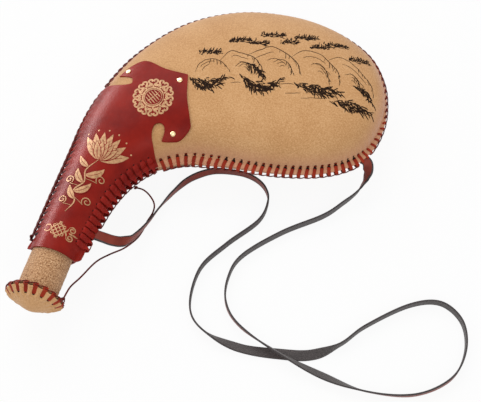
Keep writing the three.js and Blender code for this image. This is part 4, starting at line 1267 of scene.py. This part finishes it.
def make_cap():
    outer = [(r, cap_height(r)) for r in CAP_RADIUS * CAP_RINGS]
    rim = (CAP_RADIUS - 0.3 * MM, CAP_RIM_Y + 0.8 * MM)
    inner = [(r, cap_height(r) + CAP_THICKNESS) for r in (CAP_RADIUS - 1.2 * MM) * CAP_RINGS[::-3]]
    points, faces = lathe([*outer, rim, *inner], CAP_SIDES)
    dress("cap_top", "suede", "stopper", "suede", [CAP_SUEDE], (askew(lobed(points)), faces))
    top, low = CAP_UNDER_Y, CAP_UNDER_Y - CAP_THICKNESS
    hole, edge = PLUG_RADIUS + 0.5 * MM, CAP_RADIUS - 0.2 * MM
    flat = [(r, top) for r in np.linspace(PLUG_RADIUS + 2 * MM, edge - 0.6 * MM, 8)]
    rim = [(edge, top - 0.5 * MM), (edge, low + 0.3 * MM), (edge - 0.6 * MM, low)]
    points, faces = lathe([(hole, low), (hole, top), *flat, *rim], CAP_SIDES // 2)
    dress("cap_under", "suede", "stopper", "suede", [CAP_SUEDE], (askew(points), faces))


def make_cap_lace():
    parts = []
    pitch = 2 * math.pi / CAP_STITCHES
    over = CAP_HOLE_RADIUS + np.array([-1.0, 0, 1.2, 2.5, 3.8, 4.9]) * MM
    lift = LACE_THICKNESS * np.array([-0.8, 0.2, 0.5, 0.5, 0.5, 0.5])
    out = CAP_RADIUS + 0.7 * MM
    turn = [(out, CAP_RIM_Y + 0.3 * MM), (out, CAP_UNDER_Y - 0.4 * MM)]
    back = [(CAP_RADIUS - 1.2 * MM, CAP_UNDER_Y + 0.5 * MM), (CAP_RADIUS - 3.8 * MM, CAP_UNDER_Y + 0.2 * MM)]
    line = np.array([*zip(over, cap_height(over) - lift), *turn, *back])
    facing = np.array([(0.1, -1)] * 4 + [(0.4, -1), (0.6, -0.9), (1, -0.3), (1, 0.3), (0.3, 1), (0, 1)])
    hole = CAP_HOLE_RADIUS - 1.0 * MM
    shares = np.linspace(-0.1, 1.1, 11)
    cord_y = (CAP_RIM_Y + CAP_UNDER_Y) / 2 + np.cos(math.pi * np.clip(shares, 0, 1)) * 0.8 * MM
    for angle in pitch * np.arange(CAP_STITCHES):
        path, up = eased(around(angle, *line.T), around(angle, *facing.T) - NECK_AXIS)
        width = CAP_STITCH_WIDTH * tapered(CAP_TAPER, from_ends(path), BAR_TAPER_REACH)
        spot = askew(around(angle, hole, cap_height(hole)))
        cord = askew(around(angle + pitch * shares, CAP_RADIUS + 1.1 * MM, cord_y))
        parts += [
            sweep(askew(path), up, width, LACE_THICKNESS, BAR_SIDES, BAR_SQUARE),
            # Each stitch's hole in the cap gets a dark disc of painted shade.
            (*disc(spot, np.array([0, -1.0, 0]), HOLE_SHADE_PROFILE, HOLE_SHADE_SIDES), 1),
            (*sweep(cord, (0, 1, 0), CAP_CORD_WIDTH, 1.0 * MM, CORD_SIDES, CORD_SQUARE), 2),
        ]
    dress("cap_lace", "thong", "stopper", "lace", [LACE, HOLE_SHADE, DARK_LACE], *parts)


def make_plug():
    head = [(r, cap_height(r) + CAP_THICKNESS + FIT) for r in HEAD_RADIUS * np.linspace(1, 0, 9)]
    core = lathe([
        (0, PLUG_TIP_Y), (PLUG_RADIUS - 1.2 * MM, PLUG_TIP_Y),
        (PLUG_RADIUS - 0.3 * MM, PLUG_TIP_Y - 0.5 * MM), (PLUG_RADIUS, PLUG_TIP_Y - 1.4 * MM),
        (PLUG_RADIUS, HEAD_TOP_Y), (HEAD_RADIUS, HEAD_TOP_Y), *head,
    ], PLUG_SIDES)
    dress("stopper_core", "wood", "stopper", "wood", [WOOD], core)
    inside = PLUG_RADIUS + 0.1 * MM
    seal = lathe([
        (inside, SEAL_TOP_Y), (SEAL_RADIUS - 1 * MM, SEAL_TOP_Y), (SEAL_RADIUS, SEAL_TOP_Y - 1.2 * MM),
        (SEAL_RADIUS, SEAL_BASE_Y + 0.6 * MM), (SEAL_RADIUS - 0.6 * MM, SEAL_BASE_Y), (inside, SEAL_BASE_Y),
    ], PLUG_SIDES)
    dress("stopper_seal", "cork", "stopper", "cork", [CORK], seal)


make_cap()
make_cap_lace()
make_plug()


# Knots of the tether

KNOT_STEP = 1.2 * MM
KNOT_SCALE = 0.36 * MM
KNOT_TURNS = evenly(60)
KNOT_SHAPE = np.column_stack([
    np.sin(KNOT_TURNS) + 2 * np.sin(2 * KNOT_TURNS),
    np.cos(KNOT_TURNS) - 2 * np.cos(2 * KNOT_TURNS),
    -1.3 * np.sin(3 * KNOT_TURNS),
])


def make_knot(node, body, end, before, tail):
    """An overhand knot just past the end of the tether, with its short tail in millimetres."""
    place = np.array(end) + unit(np.array(end) - np.array(before)) * KNOT_STEP
    up = unit(np.cross(np.roll(KNOT_SHAPE, -1, 0) - np.roll(KNOT_SHAPE, 1, 0), KNOT_SHAPE))
    loop = place + KNOT_SCALE * KNOT_SHAPE
    line = curve([place, *(place + np.array(step) * MM for step in tail)], 14)
    width = TETHER_DIAMETER * np.linspace(1, 0.6, len(line))
    parts = [
        sweep(loop, up, TETHER_DIAMETER, 0.9 * TETHER_DIAMETER, CORD_SIDES, CORD_SQUARE, True),
        sweep(line, (0.2, 0.1, 1), width, 0.8 * MM, CORD_SIDES, CORD_SQUARE),
    ]
    dress(node, "thong", body, "lace", [DARK_LACE], *parts)


make_knot(
    "tether_knot_cap", "stopper", TETHER_ROUTE[0], TETHER_ROUTE[1],
    [(0.8, 0.2, 0.3), (1.4, -0.8, -0.4), (1.6, -1.8, -1.6)],
)
make_knot(
    "tether_knot_neck", "bag", TETHER_ROUTE[-1], TETHER_ROUTE[-2],
    [(-0.4, -0.6, 0.3), (-1.0, -0.9, -0.4), (-1.4, -0.9, -1.6)],
)


# Ornaments on the leather, in millimetres

PAINT_THICKNESS = 0.3 * MM
PAINT_LIFT = 0.04 * MM
FIELD_LIFT = 0.1 * MM
PAINT_SIDES, DOT_SIDES = 6, 12
PAINT_TAPER, PAINT_TAPER_REACH = 0.35, 0.2
LEAF_LIFT = 0.025 * MM
ROUNDEL_CENTRE = (-88.9, -57)
ROUNDEL_UNITS = 10
ROUNDEL_TURN = -0.6
ROUNDEL_LATTICE = 6.6
ROUNDEL_ARM = [
    (11.2, 0.3), (13, 1.2), (14.3, 3.2), (16.2, 4.2), (17.6, 2.9), (17.5, 1.2), (16.2, 0.8), (15.6, 1.7),
]
KNOT_CENTRE = (-118, -198.7)
KNOT_CELL = 3.1
KNOT_MIDDLE = np.array([-6.9, 0])
FLOURISH_LEAN = 80
FLOURISH_STEM = [(-125.5, -181), (-121.5, -170), (-126, -160), (-120, -150), (-122.5, -139), (-115.5, -127)]
FLOURISH_LEAVES = [
    (1.2, 150, 16, -50), (1.9, 15, 18, 60), (2.9, 160, 17, -70), (3.6, 5, 19, 65), (4.3, 165, 15, -50),
]
FLOURISH_CURLS = [
    (0.6, (-132.5, -170.5), 4.0, -60, 1.5), (1.4, (-112.0, -166.5), 4.4, 240, -1.5),
    (2.5, (-133.5, -150.5), 4.2, -60, 1.5), (3.3, (-107.5, -143.5), 4.2, 240, -1.4),
]


def blade(root, angle, length, bend, steps):
    """A line of the given length that sets out at an angle in degrees and bends on the way."""
    angles = np.radians(angle + bend * np.linspace(0, 1, steps))
    moves = heading(angles) * length / steps
    return np.vstack([root, root + np.cumsum(moves, axis=0)])


def spiral(centre, first, last, start, turns, steps=22):
    """A line that winds about a centre from the first radius to the last, from a start in degrees."""
    share = np.linspace(0, 1, steps)
    radius = first + (last - first) * share
    angle = np.radians(start + 360 * turns * share)
    return np.asarray(centre) + radius[:, None] * heading(angle)


def ring(centre, radius, steps=48):
    return spiral(centre, radius, radius, 0, 1 + 1 / steps, steps + 2)


class Painter:
    """Lays thin painted lines and fields on a ground, from points about a centre."""

    def __init__(self, ground, centre=(0, 0), angle=0):
        self.ground = ground
        self.centre = np.array(centre, float)
        self.angle = angle
        self.lift = PAINT_LIFT
        self.parts = []

    def meet(self, points):
        return self.ground.meet(MM * (self.centre + turned(points, self.angle)))

    def line(self, points, width, smoothly=True, slot=0):
        """A tapered line through the points."""
        if smoothly and len(points) > 2:
            points = finer(points, 5)
        spots, up = self.meet(points)
        share = np.linspace(0, 1, len(spots))
        taper = tapered(PAINT_TAPER, np.minimum(share, 1 - share), PAINT_TAPER_REACH)
        band = sweep(spots + up * self.lift, up, width * MM * taper, PAINT_THICKNESS, PAINT_SIDES, 2)
        self.parts.append((*band, slot))

    def field(self, left, right):
        """A filled shape between two lines of as many points."""
        shares = np.linspace(0, 1, 5)[None, :, None]
        grid = left[:, None] * (1 - shares) + right[:, None] * shares
        spots, up = self.meet(grid.reshape(-1, 2))
        face = (spots + up * (self.lift + FIELD_LIFT)).reshape(*grid.shape[:2], 3)
        self.parts.append(shell(face, PAINT_THICKNESS, 1, 1))

    def dot(self, place, radius):
        spots, up = self.meet([place])
        profile = MM * np.array([(radius, -0.1), (radius, 0.08), (0.6 * radius, 0.16)])
        self.parts.append(disc(spots[0], up[0], profile, DOT_SIDES))

    def leaf(self, root, angle, length, width, bend):
        """A curving gilt leaf with its outline and midrib in red."""
        middle = blade(root, angle, length, bend, 10)
        ahead = unit(np.gradient(middle, axis=0))
        half = width / 2 * np.sin(math.pi * np.linspace(0, 1, len(middle)) ** 0.85) ** 0.9
        side = np.column_stack([-ahead[:, 1], ahead[:, 0]]) * np.maximum(half, 0.05)[:, None]
        self.lift += LEAF_LIFT
        self.field(middle + side, middle - side)
        for points, thick in ((middle + side, 0.9), (middle - side, 0.9), (middle[:-2], 0.7)):
            self.line(points, thick, slot=1)

    def finish(self, name, *materials):
        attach(piece(name, materials, *self.parts), "bag")


def make_roundel():
    """A round ornament with a scrolled border about a lattice."""
    painter = Painter(SLEEVE_GROUND, ROUNDEL_CENTRE)
    for radius, width in ((9.3, 1.8), (7.7, 0.8)):
        painter.line(ring((0, 0), radius), width, False)
    for angle in 2 * math.pi / ROUNDEL_UNITS * np.arange(ROUNDEL_UNITS):
        for way in (-1, 1):
            painter.line(turned(np.array(ROUNDEL_ARM) * (1, way), angle), 1.9)
            painter.line(turned(spiral((12.0, 2.5 * way), 1.25, 0.4, 0, 1.2 * way), angle), 1.3, False)
        painter.dot(turned([(10.9, 0)], angle)[0], 0.9)
    for offset in (-4.8, -2.4, 0, 2.4, 4.8):
        reach = math.sqrt(ROUNDEL_LATTICE**2 - offset**2)
        painter.line(turned([(-reach, offset), (0, offset), (reach, offset)], ROUNDEL_TURN), 0.95)
    painter.line(turned([(0, -6.4), (0, 0), (0, 6.4)], ROUNDEL_TURN), 0.8)
    painter.finish("sleeve_roundel", GILT)


def make_knot_ornament():
    """An endless lattice knot with scrolls."""
    painter = Painter(SLEEVE_GROUND, KNOT_CENTRE)
    for n in (-1.5, -0.5, 0.5, 1.5):
        for way in (-1, 1):
            start = KNOT_MIDDLE + KNOT_CELL * n * np.array([0.707, 0.707 * way])
            across = KNOT_CELL * 2.1 * np.array([0.707, -0.707 * way])
            painter.line([start - across, start, start + across], 0.95)
    for way in (-1, 1):
        for x, y in ((-11.3, 3.3), (-6.9, 6.2), (-2.5, 3.3)):
            painter.line(ring((x, y * way), 1.25, 14), 0.8, False)
        painter.line([(-2.4, 0), (-0.6, 0.5 * way), (0.6, 1.7 * way), (1.2, 3.6 * way)], 1.3)
        painter.line(spiral((4.2, 3.6 * way), 3.0, 0.7, 180, -1.5 * way), 1.3, False)
        painter.line([(-12.8, 0.4 * way), (-15.4, 3 * way), (-18.6, 2.6 * way), (-18.8, 0.6 * way)], 0.95)
    painter.line([(2.4, 0), (5.4, 0), (9.4, 0)], 1.5)
    painter.finish("sleeve_knot_ornament", GILT)


def make_flourish():
    """A blossom on a winding stem with leaves and curls."""
    painter = Painter(SLEEVE_GROUND)
    root = np.array(FLOURISH_STEM[-1], float)
    for count, length, width, spread in ((7, 27, 8.4, 112), (5, 19, 6.4, 72)):
        for angle in np.linspace(FLOURISH_LEAN - spread / 2, FLOURISH_LEAN + spread / 2, count):
            painter.leaf(root, angle, length, width, 0.16 * (FLOURISH_LEAN - angle))
    painter.line(FLOURISH_STEM, 1.4)
    for place, angle, length, bend in FLOURISH_LEAVES:
        painter.leaf(spline(FLOURISH_STEM, place)[0], angle, length, 0.36 * length, bend)
    for place, centre, radius, start, turns in FLOURISH_CURLS:
        foot = spline(FLOURISH_STEM, place)[0]
        curl = spiral(centre, radius, 0.7, start, turns)
        painter.line([foot, (foot + curl[0]) / 2, *curl], 1.05, False)
    for angle in np.radians(np.linspace(FLOURISH_LEAN - 48, FLOURISH_LEAN + 48, 6)):
        painter.dot(root + 29 * heading(angle), 0.8)
    painter.finish("sleeve_flourish", GILT, RED_PAINT)


make_roundel()
make_knot_ornament()
make_flourish()


# Ink landscape on the front, in millimetres

INK_SEED = 5
INK_CENTRE = (18, 6)
INK_TURN = math.radians(17.8)
INK_HILLS = [
    [(-84, -3), (-80, 6), (-70, 11), (-60, 7), (-53, -2)],
    [(-62, 8), (-52, 19), (-42, 16), (-32, 12), (-25, 2), (-22, -8)],
    [(-37, 14), (-25, 20), (-14, 23), (-1, 15), (8, 4), (11, -8)],
    [(3, 12), (13, 19), (27, 17), (38, 6), (44, -2), (46, -14)],
    [(35, 9), (46, 14), (58, 8), (67, -3), (74, -13), (76, -24)],
    [(-48, 2), (-41, 7), (-35, 2), (-32, -6)],
    [(-14, 6), (-6, 9), (1, 3), (4, -7)],
    [(20, 4), (28, 5), (34, -4), (36, -14)],
    [(50, -5), (57, -4), (62, -11), (64, -20)],
]
INK_REEDS = [
    ((-44, 31), 20), ((-14, 37.5), 22), ((16, 35), 21), ((43, 28), 21), ((-71, 18), 19), ((-27, 28), 17),
    ((64, 13), 19), ((1, 29), 16), ((28, 24), 17),
]
INK_BANKS = [
    ([(-89, -8), (-80, -14), (-68, -15), (-55, -9)], 11),
    ([(-44, -6), (-34, -17), (-20, -20), (-6, -11)], 10),
    ([(-37, 6), (-29, -1), (-22, -10)], 6),
    ([(4, -15), (18, -21), (32, -24), (46, -24)], 10),
    ([(36, -33), (49, -35), (61, -38), (72, -41)], 9),
    ([(56, -16), (64, -19), (70, -24), (74, -31)], 7),
]
INK_WATER = [((-52, -15), 9), ((-8, -17), 12), ((10, -31), 22), ((-4, -26), 14)]


class InkPainter(Painter):
    """Draws with an unsteady hand."""

    def __init__(self):
        super().__init__(FRONT_GROUND, INK_CENTRE, INK_TURN)
        self.rng = np.random.default_rng(INK_SEED)

    def sketch(self, points, width, wander):
        points = finer(points, 4)
        points = points + self.rng.normal(0, wander, points.shape)
        self.line(points, width * self.rng.uniform(0.85, 1.2), False)

    def stroke(self, root, slope, angles, lengths, bends, widths):
        """A short stroke whose angle to a slope, length, bend and width are drawn from the given ranges."""
        angle, length, bend = (self.rng.uniform(*span) for span in (angles, lengths, bends))
        self.line(blade(root, slope + angle, length, bend, 5), self.rng.uniform(*widths), False)

    def hill(self, ridge):
        """A round hill in thin lines: its ridge, broken lines along it and strokes in its shade."""
        self.sketch(ridge, 0.65, 0.18)
        base = np.array([np.mean(np.array(ridge)[:, 0]), np.min(np.array(ridge)[:, 1])])
        line = curve(ridge, 40)
        for size in (0.8, 0.58):
            first = self.rng.integers(0, 14)
            part = base + size * (line[first : first + self.rng.integers(14, 24)] - base)
            self.line(part + self.rng.normal(0, 0.12, part.shape), 0.5, False)
        for share in np.linspace(0.5, 0.95, 8):
            top = line[round(40 * share)] + self.rng.uniform(-0.4, 0.4, 2)
            self.stroke(top, 0, (-100, -64), (2, 6.5), (-35, 15), (0.4, 0.7))

    def reeds(self, place, width):
        """A far bed of reeds, as short dark strokes close together."""
        for offset in np.linspace(-0.5, 0.5, round(3 * width)):
            root = np.array(place) + (width * offset, self.rng.uniform(-2.4, 1.2))
            length = self.rng.uniform(2.4, 5.4) * (1.1 - 1.6 * offset**2)
            reed = blade(root, self.rng.uniform(-20, 100), length, self.rng.uniform(-30, 30), 4)
            self.line(reed, self.rng.uniform(0.6, 1.15), False)

    def bank(self, line, depth):
        """A dark grassy bank, brushed along a line and thickest in its middle."""
        ends = len(line) - 1
        count = round(0.3 * float(steps_of(line).sum()) * depth)
        for share in np.arccos(np.linspace(1, -1, count)) / math.pi:
            middle, ahead = spline(line, [share * ends, share * ends + 0.02])
            half = depth / 2 * math.sin(math.pi * share)
            root = middle + (self.rng.uniform(-1, 1), self.rng.uniform(-half, half))
            slope = math.degrees(math.atan2(*(ahead - middle)[::-1]))
            self.stroke(root, slope, (-64, 30), (2.4, 7), (-40, 25), (0.7, 1.3))

    def water(self, start, length):
        x, y = start
        middle = (x + length / 2, y + self.rng.uniform(-0.7, 0.7))
        self.sketch([start, middle, (x + length, y)], 0.5, 0.1)


drawing = InkPainter()
for ridge in INK_HILLS:
    drawing.hill(ridge)
for bed in INK_REEDS:
    drawing.reeds(*bed)
for bank in INK_BANKS:
    drawing.bank(*bank)
for ripple in INK_WATER:
    drawing.water(*ripple)
drawing.finish("panel_ink_drawing", INK)


# Finish of the solids that stay

STAYING = {"liner_flask": LINER, **{f"rivet_burr_{end}": BRASS for end in RIVET_ENDS}}
for node, material in STAYING.items():
    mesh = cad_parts[node].data
    mesh.materials.clear()
    mesh.materials.append(material)
